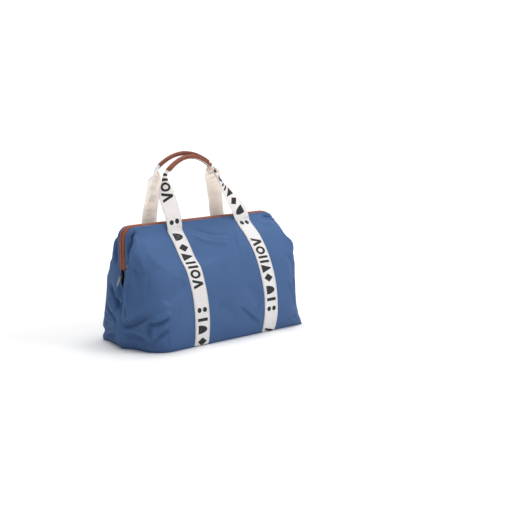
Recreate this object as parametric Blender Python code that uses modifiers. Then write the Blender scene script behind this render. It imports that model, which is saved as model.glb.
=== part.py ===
"""Frame-mouth diaper bag: soft shell on a hinged two-bow steel frame, with a zip, a lining and two webbing handles.

Metres, +Z up. The origin is the middle of the base, on the floor. +X runs along the bag, and the front faces -Y.
"""

import math

import bmesh
import bpy
from mathutils import Vector

# ---------------------------------------------------------------- driving dimensions
FRAME_HALF = 0.260  # half length of the piping line along the mouth
FRAME_TOP = 0.3200  # height of the piping line on the top bar
FRAME_CORNER = 0.030  # corner radius of the bows
FRAME_X = -0.017  # the mouth stands a little to the left of the base
HINGE_Z = 0.199  # height of the rivets that the bows turn on
BASE_TOP = 0.0024  # where the side panels start, just above the base panel
SPLIT_LOW = 0.1950  # top of the fixed part of the side panels
SPLIT_HIGH = 0.1965  # bottom of the part that swings with a bow
FABRIC = 0.0016  # canvas with its backing
LINING = 0.0010
LINING_INSET, LINING_END_INSET = 0.0035, 0.0185  # from the panels' outside, along the sides and at the ends
SEAM_GAP = 0.0013

# Side panels, one station a height: height, half length, half depth, corner radius, half length at the end seam.
STATIONS = (
    (0.0024, 0.268, 0.1235, 0.020, 0.293),
    (0.0200, 0.271, 0.1300, 0.045, 0.297),
    (0.0450, 0.272, 0.1345, 0.058, 0.297),
    (0.0850, 0.268, 0.1378, 0.060, 0.290),
    (0.1150, 0.263, 0.1355, 0.057, 0.281),
    (0.1500, 0.259, 0.1280, 0.050, 0.271),
    (0.1650, 0.258, 0.1235, 0.044, 0.2670),
    (0.1965, 0.255, 0.1075, 0.034, 0.2625),
)
LOWER_HEIGHTS = (BASE_TOP, 0.02, 0.045, 0.085, 0.115, 0.15, 0.160, 0.166, SPLIT_LOW)
ZIP_SLOT_Z = 0.163  # above this the end seam opens for the foot of the zip
ZIP_SLOT_Y = 0.0122
LEAN_LOW = 0.060  # the sides lean towards the mouth's middle from here up
SHOULDER_FLARE = (0.005, 0.026)  # how far the left and the right shoulders stand out of a straight line
UPPER_STEPS = 4
END_STEPS, CORNER_STEPS, FRONT_STEPS = 4, 4, 8

# Mouth hardware, offsets measured inwards from the piping line, and sideways from the middle plane.
PIPING_R, PIPING_Y, PIPING_FOOT = 0.0045, 0.0056, 0.209
WIRE_R, WIRE_Y, WIRE_IN = 0.0022, 0.0165, 0.0015
HEM_HALF_WIDTH, HEM_HALF_THICK, HEM_FOOT, HEM_SKIN = 0.0060, 0.0032, 0.2235, 0.0007
TEETH_R, TEETH_Y, TEETH_IN = 0.0009, 0.0017, 0.0043
TAPE_IN, TAPE_THICK, TAPE_Y = 0.0050, 0.0005, (0.0030, 0.0100)
ZIP_FOOT, ZIP_END_TOP, ZIP_END_LOW = 0.2010, 0.1895, 0.1665
PANEL_EDGE_Y, PANEL_EDGE_IN = 0.0246, 0.0018
LINING_EDGE_Y, LINING_EDGE_IN = 0.0190, 0.0165

# Hinges behind the zip at both feet of the bows.
EYE_R, EYE_THICK, EYE_BORE, RIVET_R, RIVET_HEAD_R = 0.0065, 0.0016, 0.0021, 0.0018, 0.0040
EYE_IN = (0.0090, 0.0110)  # outer faces of the front and of the rear eye

# Webbing and handles.
WEB_WIDTH, WEB_THICK = 0.050, 0.0016
STRAP_GAP = 0.0004
STRAP_HALF_SPAN = 0.1215
STRAP_TOP_Z = 0.3090
HANDLE_AXIS_Y, HANDLE_AXIS_Z = 0.0310, 0.3120
FOLD_ANGLE, FOLD_SQUASH = 5.2, 0.50
CORE_R, WRAP_CLEAR, WRAP_SKIN = 0.0036, 0.0020, 0.0010

# Zip slider and its pull tab at the left foot of the mouth.
SLIDER_Z, SLIDER_LENGTH, SLIDER_HALF_WIDTH, SLIDER_WEB_HALF = 0.1945, 0.0130, 0.0048, 0.0005
SLIDER_OUTER, SLIDER_INNER = (-0.0064, -0.0052), (0.0058, 0.0066)
BAIL_HALF, BAIL_RISE, BAIL_R = 0.0036, 0.0034, 0.0006
TAB_LENGTH, TAB_WIDTH, TAB_THICK, TAB_TILT = 0.0270, 0.0076, 0.0013, math.radians(24)

FRONT, REAR = -1, 1
LEFT, RIGHT = -1, 1

CANVAS = ("canvas", (0.062, 0.140, 0.310, 1), 0.75, 0.0)
LINING_CLOTH = ("lining_cloth", (0.30, 0.31, 0.34, 1), 0.6, 0.0)
WEBBING = ("webbing", (0.82, 0.76, 0.71, 1), 0.85, 0.0)
LEATHER = ("leather", (0.28, 0.10, 0.055, 1), 0.5, 0.0)
STEEL = ("steel", (0.55, 0.55, 0.57, 1), 0.35, 1.0)
DARK_METAL = ("dark_metal", (0.06, 0.06, 0.065, 1), 0.4, 1.0)
ZIP_CLOTH = ("zip_cloth", (0.03, 0.03, 0.035, 1), 0.8, 0.0)
BOARD = ("board", (0.12, 0.12, 0.13, 1), 0.6, 0.0)
ELASTIC = ("elastic", (0.04, 0.04, 0.05, 1), 0.7, 0.0)
FOAM = ("foam", (0.65, 0.62, 0.58, 1), 0.9, 0.0)


# ---------------------------------------------------------------- scene helpers
def clear_scene():
    for old in list(bpy.data.objects):
        bpy.data.objects.remove(old)


def new_collection(name):
    made = bpy.data.collections.new(name)
    bpy.context.scene.collection.children.link(made)
    return made


def material(spec):
    name, colour, roughness, metallic = spec
    found = bpy.data.materials.get(name)
    if found:
        return found
    made = bpy.data.materials.new(name)
    made.use_nodes = True
    shader = made.node_tree.nodes["Principled BSDF"]
    shader.inputs["Base Color"].default_value = colour
    shader.inputs["Roughness"].default_value = roughness
    shader.inputs["Metallic"].default_value = metallic
    made.diffuse_color = colour
    return made


def add(name, data, spec, collection=None):
    made = bpy.data.objects.new(name, data)
    data.materials.append(material(spec))
    (collection or parts).objects.link(made)
    return made


def mesh_from(name, points, faces):
    mesh = bpy.data.meshes.new(name)
    mesh.from_pydata([tuple(p) for p in points], [], faces)
    mesh.update()
    return mesh


def grid_mesh(name, rows, round_section=False):
    """An open surface through rows of points. A round section joins each row's end to its start."""
    width = len(rows[0])
    points = [p for row in rows for p in row]
    spans = width if round_section else width - 1
    faces = []
    for r in range(len(rows) - 1):
        for c in range(spans):
            a, b = r * width + c, r * width + (c + 1) % width
            faces.append((a, b, b + width, a + width))
    return mesh_from(name, points, faces)


def sheet(name, rows, spec, thickness, offset, round_section=False):
    """Cloth: an open surface with Solidify. Offset 1 thickens it on its normals' side, -1 on the other."""
    made = add(name, grid_mesh(name, rows, round_section), spec)
    solid = made.modifiers.new("thickness", "SOLIDIFY")
    solid.thickness = thickness
    solid.offset = offset
    solid.use_even_offset = True
    return made


def tube(name, points, radius, spec, resolution=2):
    curve = bpy.data.curves.new(name, "CURVE")
    curve.dimensions = "3D"
    curve.bevel_depth = radius
    curve.bevel_resolution = resolution
    curve.use_fill_caps = True
    spline = curve.splines.new("POLY")
    spline.points.add(len(points) - 1)
    for point, place in zip(spline.points, points):
        point.co = (*place, 1)
    return add(name, curve, spec)


def box_mesh(name, low, high):
    mesh = bpy.data.meshes.new(name)
    shape = bmesh.new()
    bmesh.ops.create_cube(shape, size=1)
    for vert in shape.verts:
        for axis in range(3):
            vert.co[axis] = low[axis] if vert.co[axis] < 0 else high[axis]
    shape.to_mesh(mesh)
    shape.free()
    return mesh


def bevelled(obj, width, segments=2):
    bevel = obj.modifiers.new("edges", "BEVEL")
    bevel.width = width
    bevel.segments = segments
    bevel.limit_method = "ANGLE"
    return obj


def cylinder_mesh(name, radius, x_low, x_high, centre_y, centre_z, sides=24):
    """A cylinder along X."""
    mesh = bpy.data.meshes.new(name)
    shape = bmesh.new()
    bmesh.ops.create_cone(
        shape, cap_ends=True, segments=sides, radius1=radius, radius2=radius, depth=x_high - x_low
    )
    for vert in shape.verts:
        x, y, z = vert.co
        vert.co = (z + (x_low + x_high) / 2, y + centre_y, centre_z - x)
    shape.normal_update()
    shape.to_mesh(mesh)
    shape.free()
    return mesh


def boolean(obj, other, operation):
    cut = obj.modifiers.new(operation.lower(), "BOOLEAN")
    cut.operation = operation
    cut.object = other
    cut.solver = "EXACT"
    other.hide_render = True
    other.display_type = "WIRE"
    return obj


def helper(name, mesh):
    """A cutter, or a shape that is joined into a part. It is not a part itself."""
    made = bpy.data.objects.new(name, mesh)
    cutters.objects.link(made)
    return made


def mesh_of_curve(obj):
    """Replaces a curve object by its mesh, so that it can be cut or joined."""
    graph = bpy.context.evaluated_depsgraph_get()
    mesh = bpy.data.meshes.new_from_object(obj.evaluated_get(graph))
    shape = bmesh.new()
    shape.from_mesh(mesh)
    bmesh.ops.remove_doubles(shape, verts=shape.verts, dist=1e-5)
    shape.to_mesh(mesh)
    shape.free()
    name, place = obj.name, obj.matrix_world.copy()
    bpy.data.objects.remove(obj)
    made = bpy.data.objects.new(name, mesh)
    made.matrix_world = place
    parts.objects.link(made)
    return made


# ---------------------------------------------------------------- body shape
def station(z):
    """Half length, half depth, corner radius and end seam at a height."""
    for low, high in zip(STATIONS, STATIONS[1:]):
        if z <= high[0]:
            t = (z - low[0]) / (high[0] - low[0])
            return [a + (b - a) * t for a, b in zip(low[1:], high[1:])]
    return list(STATIONS[-1][1:])


def lean(z):
    """How far the panels have moved from the base's middle to the mouth's middle at a height."""
    return FRAME_X * max(0.0, min(1.0, (z - LEAN_LOW) / (SPLIT_HIGH - LEAN_LOW)))


def half_outline(z, side, inset=0.0, end_inset=0.0, seam_y=SEAM_GAP):
    """Points of one panel at a height, from the left end seam round the corners to the right end seam."""
    length, depth, radius, seam = station(z)
    length, depth, radius, seam = length - inset, depth - inset, radius - inset, seam - end_inset
    length = min(length, seam - 0.004)
    turn_x, turn_y = length - radius, depth - radius
    quarter = []
    for i in range(END_STEPS):
        t = i / END_STEPS
        quarter.append((length + (seam - length) * (1 - t) ** 2, seam_y + (turn_y - seam_y) * t))
    for i in range(CORNER_STEPS + 1):
        angle = math.pi / 2 * i / CORNER_STEPS
        quarter.append((turn_x + radius * math.cos(angle), turn_y + radius * math.sin(angle)))
    left = [(-x, y) for x, y in quarter]
    front = [
        (-turn_x + 2 * turn_x * i / FRONT_STEPS, depth) for i in range(1, FRONT_STEPS)
    ]
    right = [(x, y) for x, y in reversed(quarter)]
    return [Vector((x + lean(z), side * y, z)) for x, y in left + front + right]


def mouth_path(inset, y, foot, leg_steps=END_STEPS, corner_steps=CORNER_STEPS, bar_steps=FRONT_STEPS):
    """The upside-down U of a bow, from the left foot over the top bar to the right foot."""
    half, top, radius = FRAME_HALF - inset, FRAME_TOP - inset, FRAME_CORNER - inset
    leg_top = top - radius
    quarter = [(half, foot + (leg_top - foot) * i / leg_steps) for i in range(leg_steps)]
    for i in range(corner_steps + 1):
        angle = math.pi / 2 * i / corner_steps
        quarter.append((half - radius + radius * math.cos(angle), leg_top + radius * math.sin(angle)))
    bar = half - radius
    left = [(-x, z) for x, z in quarter]
    middle = [(-bar + 2 * bar * i / bar_steps, top) for i in range(1, bar_steps)]
    right = [(x, z) for x, z in reversed(quarter)]
    return [Vector((x + FRAME_X, y, z)) for x, z in left + middle + right]


def panel_lower(name, side, spec, thickness, heights, inset=0.0, end_inset=0.0):
    rows = []
    for z in heights:
        seam_y = ZIP_SLOT_Y if z > ZIP_SLOT_Z else SEAM_GAP
        rows.append(half_outline(z, side, inset, end_inset, seam_y))
    return sheet(name, rows, spec, thickness, side)


def panel_upper(name, side, spec, thickness, inset, end_inset, edge_y, edge_in, edge_foot, flare):
    """The swinging part of a panel: straight from the split up to the bow, with a flared shoulder."""
    low = half_outline(SPLIT_HIGH, side, inset, end_inset, max(edge_y, ZIP_SLOT_Y))
    high = mouth_path(edge_in, side * edge_y, edge_foot)
    corner = END_STEPS + CORNER_STEPS / 2
    rows = []
    for i in range(UPPER_STEPS + 1):
        t = i / UPPER_STEPS
        row = []
        for k, (a, b) in enumerate(zip(low, high)):
            point = a.lerp(b, t)
            near = max(0.0, 1 - abs(min(k, len(low) - 1 - k) - corner) / (CORNER_STEPS / 2 + 1))
            way = -1 if k < len(low) / 2 else 1
            point.x += way * flare[way > 0] * near * math.sin(math.pi * t)
            row.append(point)
        rows.append(row)
    return sheet(name, rows, spec, thickness, side)


def build_shell():
    for word, side in (("front", FRONT), ("rear", REAR)):
        panel_lower(f"{word}_panel_lower", side, CANVAS, FABRIC, LOWER_HEIGHTS)
        panel_upper(
            f"{word}_panel_upper", side, CANVAS, FABRIC, 0, 0,
            PANEL_EDGE_Y, PANEL_EDGE_IN, HEM_FOOT, SHOULDER_FLARE,
        )
        panel_lower(
            f"{word}_lining_lower", side, LINING_CLOTH, LINING,
            (0.0072, 0.02, 0.045, 0.085, 0.115, 0.15, SPLIT_LOW), LINING_INSET, LINING_END_INSET,
        )
        panel_upper(
            f"{word}_lining_upper", side, LINING_CLOTH, LINING, LINING_INSET, LINING_END_INSET,
            LINING_EDGE_Y, LINING_EDGE_IN, HEM_FOOT, (0.0, 0.0),
        )


# ---------------------------------------------------------------- base
def outline_plate(name, outline, z_low, z_high, spec):
    """A flat plate of a closed outline, as a filled 2D curve with an extrusion."""
    curve = bpy.data.curves.new(name, "CURVE")
    curve.dimensions = "2D"
    curve.fill_mode = "BOTH"
    curve.extrude = (z_high - z_low) / 2
    spline = curve.splines.new("POLY")
    spline.points.add(len(outline) - 1)
    for point, place in zip(spline.points, outline):
        point.co = (place[0], place[1], 0, 1)
    spline.use_cyclic_u = True
    made = add(name, curve, spec)
    made.location.z = (z_low + z_high) / 2
    return made


def full_outline(z, inset, end_inset):
    front = half_outline(z, FRONT, inset, end_inset, 0.0)
    rear = half_outline(z, REAR, inset, end_inset, 0.0)
    return [(p.x, p.y) for p in front + rear[-2:0:-1]]


BOARD_HALF = (0.246, 0.108)
BOARD_Z = (0.0022, 0.0050)
BOARD_CORNER = 0.016


def build_base():
    outline_plate("base_panel", full_outline(BASE_TOP, -0.0003, -0.0003), 0.0, 0.0014, CANVAS)
    board = add(
        "base_board",
        box_mesh("base_board", (-BOARD_HALF[0], -BOARD_HALF[1], BOARD_Z[0]), (*BOARD_HALF, BOARD_Z[1])),
        BOARD,
    )
    bevel = board.modifiers.new("corners", "BEVEL")
    bevel.width = BOARD_CORNER
    bevel.segments = 4
    bevel.limit_method = "WEIGHT"
    weights = board.data.attributes.new("bevel_weight_edge", "FLOAT", "EDGE")
    for edge, weight in zip(board.data.edges, weights.data):
        a, b = (board.data.vertices[i].co for i in edge.vertices)
        weight.value = 1.0 if abs(a.z - b.z) > 0.001 else 0.0
    outline_plate(
        "base_lining", full_outline(0.0072, LINING_INSET, LINING_END_INSET), 0.0056, 0.0066, LINING_CLOTH
    )


# ---------------------------------------------------------------- bows, hems, piping and hinges
def ring(radius, sides=10):
    return [
        (radius * math.cos(2 * math.pi * i / sides), radius * math.sin(2 * math.pi * i / sides))
        for i in range(sides)
    ]


def rounded_section(half_width, half_thick, steps=3):
    """A flat oval: (sideways, outwards) points round it."""
    flat = half_width - half_thick
    points = []
    for sign in (1, -1):
        for i in range(steps + 1):
            angle = sign * (-math.pi / 2 + math.pi * i / steps) if sign == 1 else math.pi / 2 + math.pi * i / steps
            points.append((sign * flat + half_thick * math.cos(angle), half_thick * math.sin(angle)))
    return points


def path_normals(path):
    """Unit normals of a path in the XZ plane, pointing out of the bow's arch."""
    normals = []
    for i, _ in enumerate(path):
        ahead, behind = path[min(i + 1, len(path) - 1)], path[max(i - 1, 0)]
        tangent = (ahead - behind).normalized()
        normals.append(Vector((-tangent.z, 0, tangent.x)))
    return normals


def bow_wire(word, side):
    """Spring-steel bow: a round wire over the mouth, its feet flattened into eyes for the rivets."""
    path = mouth_path(WIRE_IN, side * WIRE_Y, 0.216, leg_steps=2, corner_steps=6, bar_steps=2)
    eye_in = EYE_IN[0] if side == FRONT else EYE_IN[1]
    feet = {}
    for end in (LEFT, RIGHT):
        outer = FRAME_X + end * (FRAME_HALF - eye_in)
        middle = outer - end * EYE_THICK / 2
        feet[end] = (outer, middle)
    left, right = feet[LEFT][1], feet[RIGHT][1]
    lead_in = [
        Vector((left, side * 0.0040, 0.2020)),
        Vector((left, side * 0.0100, 0.2065)),
        Vector((left - 0.0035, side * 0.0150, 0.2105)),
    ]
    lead_out = [Vector((right + (left - p.x), p.y, p.z)) for p in reversed(lead_in)]
    wire = tube(f"{word}_bow", lead_in + path + lead_out, WIRE_R * 0.98, STEEL, 1)
    wire = mesh_of_curve(wire)
    for end, tag in ((LEFT, "left"), (RIGHT, "right")):
        outer, middle = feet[end]
        low, high = sorted((outer, outer - end * EYE_THICK))
        # The wire is flattened where it meets the eye, so nothing stands out of the eye's two faces.
        flat = helper(
            f"{word}_flat_{tag}",
            box_mesh("flat", (high, -0.02, 0.185), (high + 0.004, 0.02, 0.2095)),
        )
        other = helper(
            f"{word}_flat2_{tag}",
            box_mesh("flat2", (low - 0.004, -0.02, 0.185), (low, 0.02, 0.2095)),
        )
        boolean(wire, flat, "DIFFERENCE")
        boolean(wire, other, "DIFFERENCE")
        eye = helper(f"{word}_eye_{tag}", cylinder_mesh("eye", EYE_R, low, high, 0, HINGE_Z))
        boolean(wire, eye, "UNION")
        bore = helper(
            f"{word}_bore_{tag}", cylinder_mesh("bore", EYE_BORE, low - 0.003, high + 0.003, 0, HINGE_Z, 20)
        )
        boolean(wire, bore, "DIFFERENCE")
    return wire


def bow_hem(word, side):
    """Canvas tunnel that the wire runs in, beside the piping."""
    path = mouth_path(WIRE_IN, side * WIRE_Y, HEM_FOOT, leg_steps=2, corner_steps=5, bar_steps=4)
    section = rounded_section(HEM_HALF_WIDTH, HEM_HALF_THICK)
    rows = [
        [p + Vector((0, across, 0)) + n * out for across, out in section]
        for p, n in zip(path, path_normals(path))
    ]
    hem = sheet(f"{word}_hem", rows, CANVAS, HEM_SKIN, -1, round_section=True)
    return hem


def build_mouth():
    for word, side in (("front", FRONT), ("rear", REAR)):
        bow_wire(word, side)
        bow_hem(word, side)
        path = mouth_path(0, side * PIPING_Y, PIPING_FOOT, 2, 6, 4)
        tube(f"{word}_piping", path, PIPING_R, LEATHER, 2)
        teeth = mouth_path(TEETH_IN, side * TEETH_Y, ZIP_FOOT, 2, 5, 4)
        tube(f"{word}_zip_teeth", teeth, TEETH_R, DARK_METAL, 1)
        near, far = (mouth_path(TAPE_IN, side * y, ZIP_FOOT, 2, 5, 4) for y in TAPE_Y)
        sheet(f"{word}_zip_tape", [near, far], ZIP_CLOTH, TAPE_THICK, -side)


def build_hinges():
    for tag, end in (("left", LEFT), ("right", RIGHT)):
        outer = FRAME_X + end * (FRAME_HALF - EYE_IN[0])
        inner = FRAME_X + end * (FRAME_HALF - EYE_IN[1] - EYE_THICK)
        gap = 0.0003
        profile = [
            (outer + end * (gap + 0.0009), 0.0),
            (outer + end * (gap + 0.0009), RIVET_HEAD_R * 0.8),
            (outer + end * gap, RIVET_HEAD_R),
            (outer + end * gap, RIVET_R),
            (inner - end * gap, RIVET_R),
            (inner - end * gap, RIVET_HEAD_R),
            (inner - end * (gap + 0.0009), RIVET_HEAD_R * 0.8),
            (inner - end * (gap + 0.0009), 0.0),
        ]
        build_turned(f"{tag}_hinge_rivet", profile, STEEL)


def build_turned(name, profile, spec, sides=20):
    """A solid of revolution about the hinge axis, from (along X, radius) points."""
    mesh = bpy.data.meshes.new(name)
    shape = bmesh.new()
    verts = [shape.verts.new((x, 0, radius)) for x, radius in profile]
    for a, b in zip(verts, verts[1:]):
        shape.edges.new((a, b))
    bmesh.ops.spin(
        shape, geom=list(shape.verts) + list(shape.edges), axis=(1, 0, 0), cent=(0, 0, 0),
        steps=sides, angle=2 * math.pi,
    )
    bmesh.ops.remove_doubles(shape, verts=shape.verts, dist=1e-6)
    shape.normal_update()
    bmesh.ops.recalc_face_normals(shape, faces=shape.faces)
    shape.to_mesh(mesh)
    shape.free()
    made = add(name, mesh, spec)
    made.location.z = HINGE_Z
    return made


# ---------------------------------------------------------------- feet of the zip, slider and pull tab
def mouth_x(end, inset):
    return FRAME_X + end * (FRAME_HALF - inset)


def build_zip_feet():
    """The last stretch of the zip below each hinge, with its stop."""
    for tag, end in (("left", LEFT), ("right", RIGHT)):
        tape_x = sorted((mouth_x(end, TAPE_IN), mouth_x(end, TAPE_IN + TAPE_THICK)))
        low = (tape_x[0], -TAPE_Y[1], ZIP_END_LOW)
        high = (tape_x[1], TAPE_Y[1], ZIP_END_TOP)
        tape = add(f"{tag}_zip_foot_tape", box_mesh("foot_tape", low, high), ZIP_CLOTH)
        if end == LEFT:
            slot = helper(
                "foot_slot",
                box_mesh("slot", (low[0] - 0.01, -0.0009, 0.184), (high[0] + 0.01, 0.0009, ZIP_END_TOP + 0.01)),
            )
            boolean(tape, slot, "DIFFERENCE")
        stop_x = sorted((mouth_x(end, TAPE_IN - 0.0003), mouth_x(end, TAPE_IN - 0.0023)))
        stop = box_mesh("stop", (stop_x[0], -0.0034, 0.1700), (stop_x[1], 0.0034, 0.1745))
        bevelled(add(f"{tag}_zip_stop", stop, DARK_METAL), 0.0004, 1)


def h_section():
    """Outline of the slider across the zip: an outer plate, a thin web and an inner plate."""
    out_a, out_b = SLIDER_OUTER
    in_a, in_b = SLIDER_INNER
    w, web = SLIDER_HALF_WIDTH, SLIDER_WEB_HALF
    right = [(out_a, w), (out_b, w), (out_b, web), (in_a, web), (in_a, w), (in_b, w)]
    return right + [(x, -y) for x, y in reversed(right)]


def build_slider():
    half = SLIDER_LENGTH / 2
    outline = [(mouth_x(LEFT, inset), y) for inset, y in h_section()]
    outline_plate("zip_slider", outline, SLIDER_Z - half, SLIDER_Z + half, DARK_METAL)
    plate_x = mouth_x(LEFT, SLIDER_OUTER[0]) - 0.0002 - BAIL_R
    arch = []
    for i in range(9):
        angle = math.pi * i / 8
        arch.append(
            Vector((plate_x - BAIL_RISE * math.sin(angle), 0, SLIDER_Z + BAIL_HALF * math.cos(angle)))
        )
    tube("slider_bail", arch, BAIL_R, DARK_METAL, 1)
    build_tab(plate_x - BAIL_RISE * 0.42)


def build_tab(axis_x):
    """Pull tab: a slotted plate whose cross bar runs through the bail, hanging on the bulge of the end panel."""
    bar, slot_half, slot_end = 0.0007, 0.0022, 0.0056
    mesh = box_mesh("zip_pull_tab", (-TAB_THICK / 2, -TAB_WIDTH / 2, -TAB_LENGTH), (TAB_THICK / 2, TAB_WIDTH / 2, bar))
    tab = add("zip_pull_tab", mesh, STEEL)
    slot = helper("tab_slot", box_mesh("tab_slot", (-0.01, -slot_half, -slot_end), (0.01, slot_half, -bar)))
    hole = helper("tab_hole", cylinder_mesh("tab_hole", 0.0016, -0.01, 0.01, 0, -TAB_LENGTH + 0.0038, 16))
    for cutter in (slot, hole):
        cutter.parent = tab
        boolean(tab, cutter, "DIFFERENCE")
    tab.location = (axis_x, 0, SLIDER_Z)
    tab.rotation_euler.y = TAB_TILT
    return tab


# ---------------------------------------------------------------- webbing straps sewn to the panels
STRAP_DRIFT = {FRONT: (0.008, -0.006), REAR: (-0.010, -0.046)}


def strap_x(side, end, z):
    low, high = STRAP_DRIFT[side]
    return end * STRAP_HALF_SPAN + low + (high - low) * min(1.0, z / HANDLE_AXIS_Z)


def panel_y(z):
    """Half depth of the panel's flat middle at any height."""
    if z <= SPLIT_HIGH:
        return station(z)[1]
    top = FRAME_TOP - PANEL_EDGE_IN
    t = (z - SPLIT_HIGH) / (top - SPLIT_HIGH)
    return station(SPLIT_HIGH)[1] * (1 - t) + PANEL_EDGE_Y * t


def strap(name, side, end, heights):
    rows = []
    for z in heights:
        centre, y = strap_x(side, end, z), side * (panel_y(z) + STRAP_GAP)
        rows.append([Vector((centre + s * WEB_WIDTH / 2, y, z)) for s in (-1, 1)])
    return sheet(name, rows, WEBBING, WEB_THICK, -side)


def build_straps():
    for word, side in (("front", FRONT), ("rear", REAR)):
        for tag, end in (("left", LEFT), ("right", RIGHT)):
            strap(f"{word}_strap_{tag}_lower", side, end, (0.004, 0.02, 0.045, 0.085, 0.115, 0.15, 0.165, 0.1935))
            strap(f"{word}_strap_{tag}_upper", side, end, (0.1985, 0.23, 0.27, STRAP_TOP_Z))


# ---------------------------------------------------------------- handles
# Grip: left end, crown and right end, as (x, z), with how far it stands from the middle plane.
GRIPS = {
    FRONT: {"left": (-0.139, 0.457), "crown": (-0.062, 0.493), "right": (0.018, 0.461), "y": 0.0115},
    REAR: {"left": (-0.149, 0.466), "crown": (-0.062, 0.500), "right": (0.032, 0.468), "y": 0.0125},
}
GRIP_STEPS, LEG_STEPS = 10, 8
WEB_COLUMNS = 8


def bezier(points, steps):
    """Points along one Bezier curve of any order."""
    made = []
    for i in range(steps + 1):
        t, level = i / steps, [Vector(p) for p in points]
        while len(level) > 1:
            level = [a.lerp(b, t) for a, b in zip(level, level[1:])]
        made.append(level[0])
    return made


def grip_path(side, steps=GRIP_STEPS):
    grip = GRIPS[side]
    a, b, c = (Vector((grip[k][0], side * grip["y"], grip[k][1])) for k in ("left", "crown", "right"))
    return bezier([a, 2 * b - (a + c) / 2, c], steps)


def leg_path(side, end):
    """From the panel's edge up to the grip, rising straight and then bending in to the grip's own line."""
    grip = grip_path(side, 20)
    tip, inner = (grip[0], grip[1]) if end == LEFT else (grip[-1], grip[-2])
    into = (tip - inner).normalized()
    foot = Vector((strap_x(side, end, HANDLE_AXIS_Z), side * HANDLE_AXIS_Y, HANDLE_AXIS_Z))
    rise = Vector((0, 0, 0.055))
    return bezier([foot, foot + rise, tip + into * 0.050, tip], LEG_STEPS)


def webbing_rows(side):
    """Rows across the handle's webbing: flat at both feet, rolled into a flattened tube round the grip's core."""
    left, grip, right = leg_path(side, LEFT), grip_path(side), leg_path(side, RIGHT)
    centres = left[:-1] + grip + right[-2::-1]
    rows = []
    for i, centre in enumerate(centres):
        ahead, behind = centres[min(i + 1, len(centres) - 1)], centres[max(i - 1, 0)]
        tangent = (ahead - behind).normalized()
        if i in (0, len(centres) - 1):
            tangent = Vector((0, 0, 1 if i == 0 else -1))
        reach = min(i, len(centres) - 1 - i) / LEG_STEPS
        fold = max(0.0, min(1.0, (reach - 0.25) / 0.75))
        fold = fold * fold * (3 - 2 * fold)
        outward = Vector((-tangent.z, 0, tangent.x)).normalized()
        flat_normal = Vector((0, side, 0))
        normal = (flat_normal * (1 - fold) + outward * fold).normalized()
        normal = (normal - tangent * normal.dot(tangent)).normalized()
        across = tangent.cross(normal)
        spread = max(1e-3, FOLD_ANGLE * fold)
        radius = WEB_WIDTH / spread
        squash = 1 - FOLD_SQUASH * fold
        row = []
        for k in range(WEB_COLUMNS + 1):
            angle = (k / WEB_COLUMNS - 0.5) * spread
            depth = radius * (math.cos(angle) - 1) + fold * radius
            row.append(centre + across * radius * math.sin(angle) * squash + normal * depth)
        rows.append(row)
    return rows


def build_handles():
    for word, side in (("front", FRONT), ("rear", REAR)):
        rows = webbing_rows(side)
        sheet(f"{word}_handle_webbing", rows, WEBBING, WEB_THICK, 0)
        tube(f"{word}_grip_core", grip_path(side), CORE_R, FOAM, 1)
        grip_wrap(word, side)


def grip_wrap(word, side):
    """Leather wrap stitched round the folded webbing."""
    path = grip_path(side)[1:-1]
    radius = WEB_WIDTH / FOLD_ANGLE
    across_r, out_r = radius * (1 - FOLD_SQUASH) + WRAP_CLEAR, radius + WRAP_CLEAR
    section = [(across_r * x, out_r * y) for x, y in ring(1.0, 14)]
    rows = [
        [p + Vector((0, across, 0)) + n * out for across, out in section]
        for p, n in zip(path, path_normals(path))
    ]
    return sheet(f"{word}_grip_wrap", rows, LEATHER, WRAP_SKIN, 1, round_section=True)


# ---------------------------------------------------------------- inside pockets
POCKET_HALF, POCKET_LOW, POCKET_HIGH = 0.186, 0.012, 0.118
POCKET_COUNT, POCKET_DEPTH, POCKET_WALL = 3, 0.062, 0.0010
ELASTIC_R, POCKET_GAP = 0.0016, 0.0020


def pocket_y(side, x, z, count, depth):
    """How far from the middle plane the pocket's wall stands: it bellies out between its seams."""
    edge = station(z)[1] - LINING_INSET - LINING - POCKET_GAP
    phase = (x + POCKET_HALF) / (2 * POCKET_HALF) * count
    belly = math.sqrt(max(0.0, math.sin(math.pi * (phase % 1))))
    slack = 0.75 + 0.25 * (z - POCKET_LOW) / (POCKET_HIGH - POCKET_LOW)
    return side * (edge - depth * belly * slack)


def pocket(name, side, count, depth, columns):
    heights = [POCKET_LOW + (POCKET_HIGH - POCKET_LOW) * i / 3 for i in range(4)]
    xs = [-POCKET_HALF + 2 * POCKET_HALF * k / columns for k in range(columns + 1)]
    rows = [[Vector((x, pocket_y(side, x, z, count, depth), z)) for x in xs] for z in heights]
    sheet(name, rows, LINING_CLOTH, POCKET_WALL, side)
    rim = [Vector((p.x, p.y, POCKET_HIGH + 0.0003 + ELASTIC_R)) for p in rows[-1]]
    tube(f"{name}_rim", rim, ELASTIC_R, ELASTIC, 1)


def build_pockets():
    pocket("bottle_pockets", FRONT, POCKET_COUNT, POCKET_DEPTH, 24)
    pocket("rear_pocket", REAR, 1, 0.022, 12)


clear_scene()
parts = new_collection("diaper_bag")
cutters = new_collection("cutters")
build_shell()
build_base()
build_mouth()
build_hinges()
build_zip_feet()
build_slider()
build_straps()
build_handles()
build_pockets()
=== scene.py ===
"""Looks of the frame-mouth diaper bag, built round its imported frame. Metres, +Z up, the front faces -Y."""

import math

import bmesh
import bpy
import numpy as np
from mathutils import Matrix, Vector
from mathutils.bvhtree import BVHTree


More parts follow.
